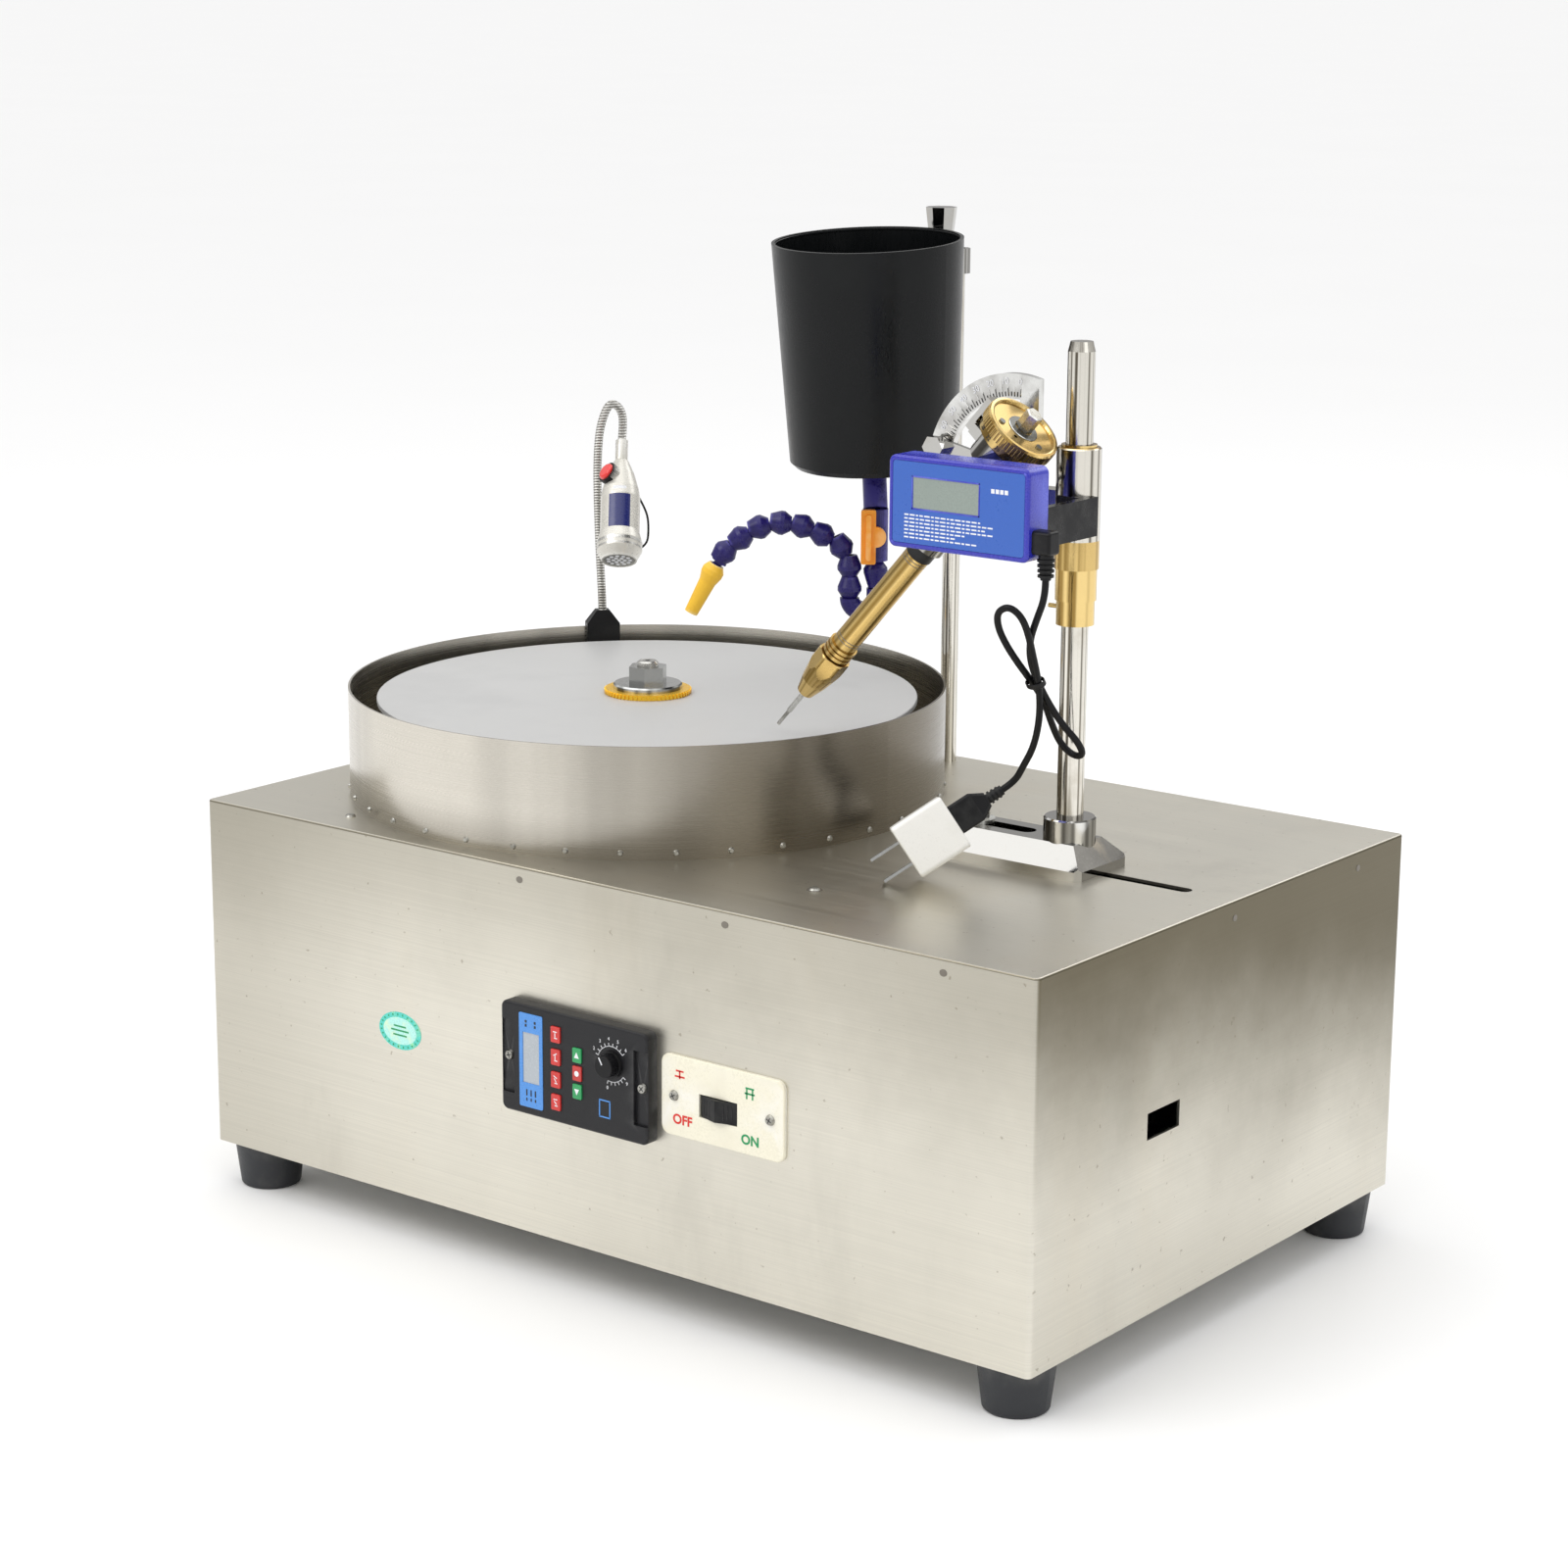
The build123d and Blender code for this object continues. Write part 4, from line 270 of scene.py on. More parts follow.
MAT = {
    "sheet": brushed_sheet("brushed_stainless", (0.73, 0.70, 0.615), 0.34, (4, 4, 1400), (4, 1400, 4),
                           (0.06, 0.215, 0.0, 0.12, 0.225, 0.62)),
    "ring": ring_sheet("ring_stainless", (0.66, 0.625, 0.555), 0.25, (-0.109, 0.003, 0.226)),
    "steel": surface("zinc_steel", (0.5, 0.49, 0.46), 0.28, 1.0, stain=(0.16, 0.15, 0.13), blotch=90,
                     stain_amount=0.7, wear=(0.75, 0.75, 0.72)),
    "dark_steel": surface("spot_steel", (0.25, 0.23, 0.2), 0.5, 1.0, stain=(0.12, 0.08, 0.05)),
    # chrome, mast, brass and hex steel: their light and dark colours are painted reflections
    "chrome": facet_metal("chrome", (0.74, 0.73, 0.70), (0.10, 0.095, 0.085), 0.07),
    "mast": facet_metal("mast_chrome", (0.76, 0.73, 0.66), (0.12, 0.105, 0.08), 0.12, 3.2),
    "brass": facet_metal("brass", (0.86, 0.64, 0.27), (0.33, 0.21, 0.06), 0.15, 1.7,
                         (0.5, 0.34, 0.12)),
    # engraved plate: its large dark blotches are painted reflection, dark patches by position across the flat
    # plate
    "engraved": surface("engraved_plate", (0.5, 0.49, 0.47), 0.12, 1.0, vary=0.03, bump=0.02, blotch=32,
                        stain=(0.09, 0.085, 0.08), stain_amount=0.85, wear=(0.8, 0.8, 0.78)),
    "rivet": surface("rivet_steel", (0.3, 0.29, 0.26), 0.35, 1.0, stain=(0.12, 0.1, 0.08), blotch=90,
                     wear=(0.6, 0.6, 0.56)),
    "brass_matt": facet_metal("brass_ground", (0.74, 0.53, 0.21), (0.27, 0.17, 0.045), 0.24, 2.8,
                              (0.5, 0.34, 0.12)),
    "brass_bright": surface("brass_flange", (0.95, 0.58, 0.04), 0.3, 0.6, vary=0.04, rough_vary=0.06,
                            bump=0.02, blotch=80, stain=(0.8, 0.38, 0.02), stain_amount=0.5),
    "hex_steel": facet_metal("hex_steel", (0.66, 0.67, 0.66), (0.13, 0.13, 0.12), 0.2, 2.3,
                             (0.35, 0.33, 0.3)),
    "cast": surface("motor_paint", (0.16, 0.17, 0.18), 0.5, 0.2, bump=0.3, wear=(0.4, 0.4, 0.4)),
    "machined": surface("machined_plate", (0.62, 0.62, 0.6), 0.36, 1.0, grain=(1, 1, 60), bump=0.08),
    "rubber": surface("foot_rubber", (0.018, 0.02, 0.024), 0.5, vary=0.25, bump=0.2, blotch=40,
                      stain=(0.09, 0.085, 0.08), stain_amount=0.4, wear=(0.06, 0.06, 0.06)),
    "black": surface("black_plastic", (0.004, 0.004, 0.005), 0.4, vary=0.2, bump=0.06, blotch=60,
                     stain=(0.009, 0.009, 0.01), stain_amount=0.4, wear=(0.02, 0.02, 0.02), ior=1.34,
                     rough_vary=0.04),
    "black_gloss": surface("black_enamel", (0.004, 0.004, 0.005), 0.26, vary=0.2, bump=0.03, blotch=50,
                           stain=(0.009, 0.009, 0.009), wear=(0.03, 0.03, 0.03), ior=1.3),
    "tank": surface("tank_black", (0.0035, 0.0042, 0.0048), 0.3, vary=0.2, grain=(1, 1, 0.2),
                    bump=0.06, blotch=22, rough_vary=0.06, stain=(0.008, 0.009, 0.0095),
                    stain_amount=0.4, ior=1.3),
    "cord": surface("cord_jacket", (0.004, 0.004, 0.005), 0.42, vary=0.2, bump=0.08, blotch=80,
                    stain=(0.009, 0.009, 0.009), ior=1.3, rough_vary=0.04),
    "bezel": surface("bezel_black", (0.010, 0.010, 0.012), 0.42, vary=0.3, grain_scale=1600, bump=0.25,
                     blotch=60, stain=(0.02, 0.02, 0.022), stain_amount=0.3,
                     wear=(0.08, 0.08, 0.08), ior=1.4),
    "strip": surface("strip_blue", (0.06, 0.27, 0.72), 0.3, vary=0.06, bump=0.02, blotch=80,
                     stain=(0.12, 0.35, 0.8), stain_amount=0.3, coat=0.4),
    "red_key": surface("key_red", (0.62, 0.03, 0.025), 0.35, vary=0.08, bump=0.05, blotch=200,
                       stain=(0.4, 0.02, 0.02), coat=0.2),
    "stop_key": surface("key_red_small", (0.55, 0.035, 0.03), 0.35, vary=0.08, bump=0.05, blotch=200,
                         stain=(0.4, 0.02, 0.02), coat=0.2),
    "green_key": surface("key_green", (0.02, 0.33, 0.1), 0.35, vary=0.08, bump=0.05, blotch=200,
                         stain=(0.01, 0.2, 0.06), coat=0.2),
    "cream": surface("cream_plate", (0.86, 0.82, 0.66), 0.3, vary=0.03, bump=0.05, blotch=50,
                     stain=(0.72, 0.66, 0.5), stain_amount=0.3, coat=0.3, wear=(0.9, 0.88, 0.8)),
    "lamp_body": surface("lamp_pearl", (0.68, 0.66, 0.6), 0.3, 0.35, vary=0.04, bump=0.05, blotch=60,
                         stain=(0.52, 0.5, 0.44), stain_amount=0.4, coat=0.3, wear=(0.85, 0.84, 0.8)),
    "case_blue": surface("case_blue", (0.022, 0.024, 0.42), 0.25, vary=0.08, bump=0.04, blotch=40,
                         stain=(0.025, 0.03, 0.36), stain_amount=0.4, coat=0.3, wear=(0.1, 0.12, 0.65)),
    "panel_blue": surface("panel_blue", (0.026, 0.115, 0.50), 0.33, vary=0.05, bump=0.05, blotch=30,
                          stain=(0.03, 0.13, 0.52), stain_amount=0.35, coat=0.25),
    "navy": surface("lamp_navy", (0.012, 0.018, 0.14), 0.3, vary=0.1, bump=0.04, blotch=60,
                    stain=(0.02, 0.03, 0.2), stain_amount=0.4, coat=0.3),
    "white": surface("charger_white", (0.87, 0.86, 0.82), 0.32, vary=0.03, bump=0.05, blotch=60,
                     stain=(0.72, 0.7, 0.64), stain_amount=0.25, coat=0.25, wear=(0.95, 0.95, 0.93)),
    "hose": surface("hose_blue", (0.016, 0.010, 0.12), 0.3, vary=0.18, bump=0.08, blotch=90,
                    stain=(0.009, 0.006, 0.07), stain_amount=0.6, wear=(0.06, 0.05, 0.28), ior=1.42),
    "orange": surface("tap_orange", (1.0, 0.36, 0.02), 0.38, vary=0.06, bump=0.08, blotch=90,
                      stain=(0.75, 0.2, 0.015), wear=(1.0, 0.5, 0.15)),
    "yellow": surface("nozzle_yellow", (0.93, 0.55, 0.035), 0.38, vary=0.06, bump=0.08, blotch=90,
                      stain=(0.75, 0.4, 0.02), wear=(1.0, 0.75, 0.3)),
    "red_dome": surface("button_red", (0.8, 0.02, 0.015), 0.15, vary=0.05, bump=0.03, blotch=120,
                        stain=(0.55, 0.01, 0.01), coat=0.7),
    "lens": surface("lamp_lens", (0.42, 0.42, 0.4), 0.15, 0.3, vary=0.1, bump=0.1, blotch=150,
                    stain=(0.15, 0.15, 0.16), stain_amount=0.7, coat=0.6),
    "lap": surface("lap_sheet", (0.5, 0.5, 0.495), 0.42, 0.0, vary=0.05, grain_scale=1500, bump=0.12,
                   blotch=9, stain=(0.43, 0.43, 0.43), stain_amount=0.5, rough_vary=0.08, coat=0.05),
    "lcd": surface("lcd_green", (0.26, 0.31, 0.28), 0.3, vary=0.04, bump=0.02, blotch=60,
                   stain=(0.22, 0.27, 0.25), coat=0.5),
    "lcd_grey": surface("lcd_grey", (0.42, 0.46, 0.5), 0.25, vary=0.04, bump=0.02, blotch=60,
                        stain=(0.36, 0.4, 0.45), coat=0.5),
    "ink_white": surface("ink_white", (0.86, 0.87, 0.9), 0.5, vary=0.05, bump=0.05, blotch=120,
                         stain=(0.7, 0.7, 0.75)),
    "ink_red": surface("ink_red", (0.7, 0.03, 0.02), 0.5, vary=0.08, bump=0.05, blotch=120,
                       stain=(0.5, 0.02, 0.02)),
    "ink_green": surface("ink_green", (0.01, 0.3, 0.1), 0.5, vary=0.08, bump=0.05, blotch=120,
                         stain=(0.01, 0.2, 0.07)),
    "ink_black": surface("ink_black", (0.02, 0.02, 0.02), 0.5, vary=0.2, bump=0.05, blotch=120,
                         stain=(0.05, 0.05, 0.05)),
    "sticker": surface("sticker_teal", (0.08, 0.62, 0.52), 0.25, 0.3, vary=0.12, bump=0.04, blotch=140,
                       stain=(0.5, 0.85, 0.3), stain_amount=0.6, coat=0.5),
    "sticker_pale": surface("sticker_pale", (0.45, 0.85, 0.78), 0.3, 0.2, vary=0.1, bump=0.04, blotch=160,
                            stain=(0.85, 0.9, 0.5), stain_amount=0.5, coat=0.4),
}


def ribbed_neck():
    """Wound steel strip: fine rings up the neck."""
    made, graph, shader, place = start("gooseneck_steel")
    wave = graph.add("ShaderNodeTexWave", wave_type="BANDS", bands_direction="Z", wave_profile="SIN")
    wave.inputs["Scale"].default_value = 190
    wave.inputs["Distortion"].default_value = 0.0
    graph.link(place, wave.inputs["Vector"])
    rings = wave.outputs["Fac"]
    grime = graph.noise(place, 60.0)
    tone = graph.mix(graph.ramp(rings, 0.05, 0.7), (0.26, 0.25, 0.23), (0.66, 0.65, 0.62))
    tone = graph.mix(graph.math("MULTIPLY", graph.ramp(grime, 0.5, 0.7), 0.4), tone, (0.3, 0.27, 0.22))
    graph.link(tone, shader.inputs["Base Color"])
    graph.link(graph.ramp(grime, 0.3, 0.7, 0.25, 0.45), shader.inputs["Roughness"])
    graph.link(graph.bump(rings, 0.9, 0.0006), shader.inputs["Normal"])
    shader.inputs["Metallic"].default_value = 1.0
    return made


MAT["neck"] = ribbed_neck()


def floor_material():
    made, graph, shader, place = start("floor_pale")
    cloud = graph.noise(place, 2.0)
    graph.link(graph.mix(cloud, (0.9, 0.9, 0.9), (0.92, 0.92, 0.92)), shader.inputs["Base Color"])
    shader.inputs["Roughness"].default_value = 0.6
    return made


# ---------------------------------------------------------------- CAD nodes take their finishes
FINISH = {
    "sheet": ["cabinet"],
    "ring": ["splash_ring"],
    "steel": ["bottom_plate", "clamp_bolt", "pivot_pin", "dop", "spindle_shaft", "quill_spindle"],
    "engraved": ["protractor"],
    "rivet": ["fasteners"],
    "chrome": ["base_bar", "post_clamp", "quill_housing", "detent_lever", "clamp_knob"],
    "hex_steel": ["spindle_nut"],
    "mast": ["mast", "tank_post", "mast_sleeve"],
    "brass": ["index_wheel", "brass_collars"],
    "brass_bright": ["brass_flange"],
    "brass_matt": ["quill_tube", "chuck"],
    "cast": ["motor_body"],
    "machined": ["bearing_housing", "backing_plate"],
    "rubber": ["rubber_feet", "drain_pipe"],
    "black": ["mains_gland", "gauge_plug", "usb_plug", "rocker", "speed_knob", "lamp_base"],
    "black_gloss": ["gauge_bracket"],
    "tank": ["tank"],
    "bezel": ["speed_controller"],
    "strip": ["display_strip"],
    "red_key": ["red_key_1", "red_key_2", "red_key_3", "red_key_4"],
    "green_key": ["key_up", "key_down"],
    "stop_key": ["key_stop"],
    "cream": ["switch_plate"],
    "lamp_body": ["lamp_head"],
    "case_blue": ["gauge_case"],
    "panel_blue": ["gauge_face"],
    "white": ["charger"],
    "hose": ["hose_inlet", "hose_run"],
    "orange": ["valve_handle"],
    "yellow": ["nozzle"],
    "red_dome": ["lamp_button"],
    "lens": ["lamp_lens"],
    "lap": ["lap_disc"],
    "cord": ["gauge_cord"],
    "neck": ["gooseneck"],
}
for key, names in FINISH.items():
    for node_name in names:
        mesh = NODES[node_name].data
        mesh.materials.clear()
        mesh.materials.append(MAT[key])


def crisp(node_name, angle=30.0):
    """Smooth shading with sharp edges kept."""
    mesh = NODES[node_name].data
    mesh.shade_smooth()
    mesh.set_sharp_from_angle(angle=math.radians(angle))


for node_name in NODES:
    crisp(node_name)

# two-tone nodes: the second finish goes on the faces a test picks out


def second_finish(node_name, key, wanted):
    mesh = NODES[node_name].data
    mesh.materials.append(MAT[key])
    for polygon in mesh.polygons:
        if wanted(polygon.center, polygon.normal):
            polygon.material_index = len(mesh.materials) - 1


# ---------------------------------------------------------------- mesh helpers
def piece(name, mesh, key, body, smooth=True):
    """A new visible object that rides on a body."""
    made = bpy.data.objects.new(name, mesh)
    bpy.context.scene.collection.objects.link(made)
    if smooth:
        mesh.shade_smooth()
        mesh.set_sharp_from_angle(angle=math.radians(35))
    mesh.materials.append(MAT[key])
    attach(made, body)
    return made


def from_bmesh(name, work):
    mesh = bpy.data.meshes.new(name)
    work.to_mesh(mesh)
    work.free()
    return mesh


class Plate:
    """A flat drawing board in space: u and v in millimetres, out along the normal."""

    def __init__(self, origin, u, v):
        self.origin = Vector(origin) * MM
        self.u = Vector(u).normalized()
        self.v = Vector(v).normalized()
        self.n = self.u.cross(self.v)

    def at(self, u, v, out=0.0):
        return self.origin + (self.u * u + self.v * v + self.n * out) * MM

    def outline(self, work, points, depth, lift=0.05):
        """A thin slab over a closed outline, standing lift to lift+depth proud of the board."""
        low = [work.verts.new(self.at(u, v, lift - 0.1)) for u, v in points]
        high = [work.verts.new(self.at(u, v, lift + depth)) for u, v in points]
        work.faces.new(high)
        count = len(points)
        for i in range(count):
            j = (i + 1) % count
            work.faces.new((low[i], low[j], high[j], high[i]))

    def bar(self, work, u, v, width, height, depth=0.08, turn=0.0):
        corners = [(-width / 2, -height / 2), (width / 2, -height / 2), (width / 2, height / 2),
                   (-width / 2, height / 2)]
        c, s = math.cos(turn), math.sin(turn)
        self.outline(work, [(u + x * c - y * s, v + x * s + y * c) for x, y in corners], depth)

    def oval(self, work, u, v, ru, rv, depth=0.08, count=48, lift=0.05):
        self.outline(work, [(u + ru * math.cos(t * math.tau / count), v + rv * math.sin(t * math.tau / count))
                            for t in range(count)], depth, lift)

    def text(self, name, body_text, u, v, size, key, body, turn=0.0, out=0.08, bold=0.0):
        """Generic lettering, such as a dial's numbers."""
        curve = bpy.data.curves.new(name, "FONT")
        curve.body = body_text
        curve.size = size * MM
        curve.align_x = "CENTER"
        curve.align_y = "CENTER"
        curve.extrude = 0.05 * MM
        curve.offset = bold * size * MM
        curve.resolution_u = 4
        made = bpy.data.objects.new(name, curve)
        bpy.context.scene.collection.objects.link(made)
        c, s = math.cos(turn), math.sin(turn)
        along = self.u * c + self.v * s
        upward = self.v * c - self.u * s
        spot = self.at(u, v, out)
        rows = [(along[i], upward[i], self.n[i], spot[i]) for i in range(3)]
        made.matrix_world = Matrix((*rows, (0, 0, 0, 1)))
        curve.materials.append(MAT[key])
        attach(made, body)
        return made


def marks(name, key, body, draw):
    """One piece made of many small marks."""
    work = bmesh.new()
    draw(work)
    bmesh.ops.recalc_face_normals(work, faces=work.faces)
    return piece(name, from_bmesh(name, work), key, body, smooth=False)


def centre(node_name):
    low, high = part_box(node_name)
    return [(a + b) / 2 / MM for a, b in zip(low, high)]


def front_of(node_name):
    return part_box(node_name)[0][1] / MM


# ---------------------------------------------------------------- cord
CORD_DIAMETER = 3.6 * MM
CORD_ROUTE = [
    (201.0, -61.5, 389.4), (201.0, -61.5, 381.0), (195.6, -60.4, 369.0), (190.2, -58.0, 358.0),
    (187.6, -53.8, 346.5), (188.3, -47.6, 334.5), (191.0, -40.6, 322.0), (195.0, -33.0, 310.0),
    (199.6, -26.4, 301.4), (199.6, -20.4, 293.4), (191.2, -16.6, 290.8), (184.4, -19.4, 297.0),
    (184.8, -28.4, 309.0), (186.6, -38.8, 323.4), (184.2, -46.8, 334.0), (181.4, -55.4, 344.5),
    (178.6, -62.2, 354.5), (177.0, -67.4, 364.2), (179.0, -70.8, 372.4), (186.2, -71.2, 376.0),
    (191.8, -68.2, 371.0), (192.4, -62.8, 361.6), (191.4, -57.0, 350.0), (190.8, -51.2, 337.5),
    (189.4, -46.2, 324.5), (186.4, -42.6, 311.0), (181.8, -40.2, 298.0), (175.0, -38.6, 287.4),
    (168.56, -36.12, 277.94), (163.91, -41.02, 273.65)]


def cord_curve(name, route, diameter, key, body):
    curve = bpy.data.curves.new(name, "CURVE")
    curve.dimensions = "3D"
    curve.bevel_depth = diameter / 2
    curve.bevel_resolution = 5
    line = curve.splines.new("NURBS")
    line.points.add(len(route) - 1)
    for point, spot in zip(line.points, route):
        point.co = (*(c * MM for c in spot), 1.0)
    line.order_u = 3
    line.use_endpoint_u = True
    line.resolution_u = 8
    curve.materials.append(MAT[key])
    made = bpy.data.objects.new(name, curve)
    bpy.context.scene.collection.objects.link(made)
    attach(made, body)
    return made


gauge_cord = cord_curve("gauge_cord_look", CORD_ROUTE, CORD_DIAMETER, "cord", "head")
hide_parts("gauge_cord")

# ---------------------------------------------------------------- camera and light
YAW, PITCH, ROLL = math.radians(37.7496), math.radians(13.487), math.radians(0.375)
forward = Vector((-math.sin(YAW) * math.cos(PITCH), math.cos(YAW) * math.cos(PITCH), -math.sin(PITCH)))
level_right = Vector((math.cos(YAW), math.sin(YAW), 0))
level_up = level_right.cross(forward)
right = level_right * math.cos(ROLL) + level_up * math.sin(ROLL)
upward = level_up * math.cos(ROLL) - level_right * math.sin(ROLL)
camera_data = bpy.data.cameras.new("camera")
camera_data.lens = 81.70
camera_data.sensor_width = 36
camera_data.clip_start = 0.05
camera_data.clip_end = 1000
camera = bpy.data.objects.new("camera", camera_data)
bpy.context.scene.collection.objects.link(camera)
CAMERA_SPOT = Vector((1.1580, -1.5070, 0.6999))
camera.matrix_world = Matrix(((right.x, upward.x, -forward.x, CAMERA_SPOT.x),
                              (right.y, upward.y, -forward.y, CAMERA_SPOT.y),
                              (right.z, upward.z, -forward.z, CAMERA_SPOT.z), (0, 0, 0, 1)))
bpy.context.scene.camera = camera


def softbox(name, spot, aim, width, height, power, color=(1, 1, 1)):
    lamp = bpy.data.lights.new(name, "AREA")
    lamp.shape = "RECTANGLE"
    lamp.size = width
    lamp.size_y = height
    lamp.energy = power
    lamp.color = color
    made = bpy.data.objects.new(name, lamp)
    bpy.context.scene.collection.objects.link(made)
    made.location = spot
    made.rotation_euler = (Vector(aim) - Vector(spot)).to_track_quat("-Z", "Y").to_euler()


softbox("key", (-0.9, -1.9, 2.1), (0, 0, 0.2), 1.6, 1.2, 16, (1.0, 0.985, 0.96))
softbox("fill", (2.2, -0.6, 1.4), (0, 0, 0.2), 1.2, 1.6, 5, (0.97, 0.985, 1.0))
softbox("rim", (0.3, 2.0, 1.9), (0, 0, 0.3), 2.2, 0.9, 9)
softbox("top", (0, 0, 2.4), (0, 0, 0), 1.8, 1.8, 4)
sun_data = bpy.data.lights.new("daylight", "SUN")
sun_data.energy = 0.55
sun_data.angle = math.radians(70)
sun = bpy.data.objects.new("daylight", sun_data)
bpy.context.scene.collection.objects.link(sun)
sun.rotation_euler = (math.radians(18), math.radians(-12), 0)

world = bpy.data.worlds.new("studio")
bpy.context.scene.world = world
world.use_nodes = True
sky = Graph(world.node_tree)
world.node_tree.nodes.clear()
direction = sky.add("ShaderNodeTexCoord").outputs["Generated"]
parts = sky.add("ShaderNodeSeparateXYZ")
sky.link(direction, parts.inputs[0])
height = sky.ramp(parts.outputs["Z"], 0.0, 0.75)
background = sky.add("ShaderNodeBackground")
sky.link(sky.mix(height, (0.42, 0.415, 0.41), (1.0, 1.0, 1.0)), background.inputs["Color"])
background.inputs["Strength"].default_value = 1.0
sky.link(background.outputs[0], sky.add("ShaderNodeOutputWorld").inputs[0])

floor_mesh = bpy.data.meshes.new("floor")
floor_mesh.from_pydata([(-300, -300, 0), (300, -300, 0), (300, 300, 0), (-300, 300, 0)], [], [(0, 1, 2, 3)])
floor = bpy.data.objects.new("floor", floor_mesh)
bpy.context.scene.collection.objects.link(floor)
floor_mesh.materials.append(floor_material())
bpy.context.scene.view_settings.view_transform = "Standard"
bpy.context.scene.view_settings.exposure = 0.0

# ---------------------------------------------------------------- front panel
FRONT = -177.5
face = Plate((0, FRONT, 0), (1, 0, 0), (0, 0, 1))
side_face = Plate((279, 0, 0), (0, 1, 0), (0, 0, 1))
deck = Plate((0, 0, 226), (1, 0, 0), (0, 1, 0))


def spot_marks(work):
    for x in (-45, 92, 225):
        face.oval(work, x, 219, 2.2, 1.8, 0.1, 20)
    for y in (0.5, 127.5):
        side_face.oval(work, y, 217, 2.0, 1.7, 0.1, 20)
    for x, y in ((101.7, -116.9),):
        deck.oval(work, x, y, 4.2, 4.2, 0.1, 24)


marks("weld_spots", "dark_steel", ROOT, spot_marks)


def sticker(work):
    face.oval(work, -133, 119.4, 15.5, 10.5, 0.12, 64)


marks("oval_sticker", "sticker", ROOT, sticker)


def sticker_lines(work):
    face.oval(work, -133, 119.4, 12.2, 7.6, 0.2, 64)


marks("sticker_centre", "sticker_pale", ROOT, sticker_lines)


def sticker_bars(work):
    for row, width in ((2.6, 9), (0.2, 13), (-2.4, 10)):
        face.bar(work, -133, 119.4 + row, width, 0.9, 0.26)
    for i in range(22):
        angle = math.radians(20 + i * 320 / 21)
        face.bar(work, -133 + 13.9 * math.cos(angle), 119.4 + 9.1 * math.sin(angle), 1.1, 0.7, 0.2, angle)


marks("sticker_print", "ink_green", ROOT, sticker_bars)

# controller
BEZEL = front_of("speed_controller")
panel = Plate((0, BEZEL, 0), (1, 0, 0), (0, 0, 1))
strip_board = Plate((0, front_of("display_strip"), 0), (1, 0, 0), (0, 0, 1))
second_finish("display_strip", "lcd_grey",
              lambda c, n: abs(c.x / MM + 31) < 5.6 and abs(c.z / MM - 126.4) < 13.6 and n.y < -0.9)


def strip_print(work):
    for v in (146.2, 144.0):
        strip_board.bar(work, -34.3, v, 1.2, 1.4)
        strip_board.bar(work, -28.0, v, 1.2, 1.4)
    for i in range(3):
        strip_board.bar(work, -34 + 3 * i, 107.4, 0.8, 3.4)
        strip_board.bar(work, -34 + 3 * i, 103.6, 0.8, 1.6)


marks("strip_print", "ink_black", ROOT, strip_print)


KNOB_X, KNOB_Z = 24.3, 134.6


def dial_scale(work):
    for i in range(9):
        angle = math.radians(160 - i * 15)
        panel.bar(work, KNOB_X + 10.4 * math.cos(angle), KNOB_Z + 10.4 * math.sin(angle), 1.8, 0.35, 0.06,
                  angle)
    for i in range(6):
        angle = math.radians(-105 + i * 14)
        panel.bar(work, KNOB_X + 10.4 * math.cos(angle), KNOB_Z + 10.4 * math.sin(angle), 1.8, 0.35, 0.06,
                  angle)


    for low, high in ((40, 160), (-105, -35)):
        for i in range(24):
            angle = math.radians(low + (high - low) * (i + 0.5) / 24)
            panel.bar(work, KNOB_X + 9.5 * math.cos(angle), KNOB_Z + 9.5 * math.sin(angle), 0.28,
                      math.radians(high - low) / 24 * 9.7, 0.06, angle)


marks("dial_scale", "ink_white", ROOT, dial_scale)
for i, digit in enumerate("23456"):
    angle = math.radians(152 - i * 27)
    panel.text(f"dial_digit_{digit}", digit, KNOB_X + 13.4 * math.cos(angle), KNOB_Z + 13.4 * math.sin(angle),
               2.6, "ink_white", ROOT)
for digit, degrees in (("0", -102), ("9", -40)):
    angle = math.radians(degrees)
    panel.text(f"dial_digit_{digit}", digit, KNOB_X + 13.4 * math.cos(angle), KNOB_Z + 13.4 * math.sin(angle),
               2.6, "ink_white", ROOT)

knob_face = Plate((KNOB_X, front_of("speed_knob"), KNOB_Z), (1, 0, 0), (0, 0, 1))


def knob_pointer(work):
    angle = math.radians(120)
    knob_face.bar(work, 3.4 * math.cos(angle), 3.4 * math.sin(angle), 4.2, 0.7, 0.02, angle)


marks("knob_pointer", "ink_white", "speed_dial", knob_pointer)

for index in range(4):
    name = f"red_key_{index + 1}"
    x, y, z = centre(name)
    board = Plate((x, front_of(name), z), (1, 0, 0), (0, 0, 1))

    def icon(work, board=board, index=index):
        board.bar(work, 0, 1.6, 2.6, 0.5, 0.04, (0.0, 0.5, -0.5, 0.0)[index])
        board.bar(work, 0, -0.2, 0.5, 2.4, 0.04, (0.0, 0.0, 0.6, 0.8)[index])
        board.bar(work, 0.5, -1.8, 2.0, 0.5, 0.04)
    marks(f"key_icon_{index + 1}", "ink_white", f"{name}_press", icon)
for name, shape in (("key_up", 1), ("key_down", -1), ("key_stop", 0)):
    x, y, z = centre(name)
    board = Plate((x, front_of(name), z), (1, 0, 0), (0, 0, 1))

    def arrow(work, board=board, shape=shape):
        if shape:
            board.outline(work, [(-1.6, -1.4 * shape), (1.6, -1.4 * shape), (0, 1.8 * shape)][::shape], 0.04)
        else:
            board.oval(work, 0, 0, 1.5, 1.5, 0.04, 20)
    marks(f"{name}_icon", "ink_white", f"{name}_press", arrow)


def blue_mark(work):
    sides = ((16, 0.7, 9, 109.5), (23, 0.7, 9, 109.5), (19.5, 7.7, 0.7, 114), (19.5, 7.7, 0.7, 105))
    for u, w, h, v in sides:
        panel.bar(work, u, v, w, h, 0.05)


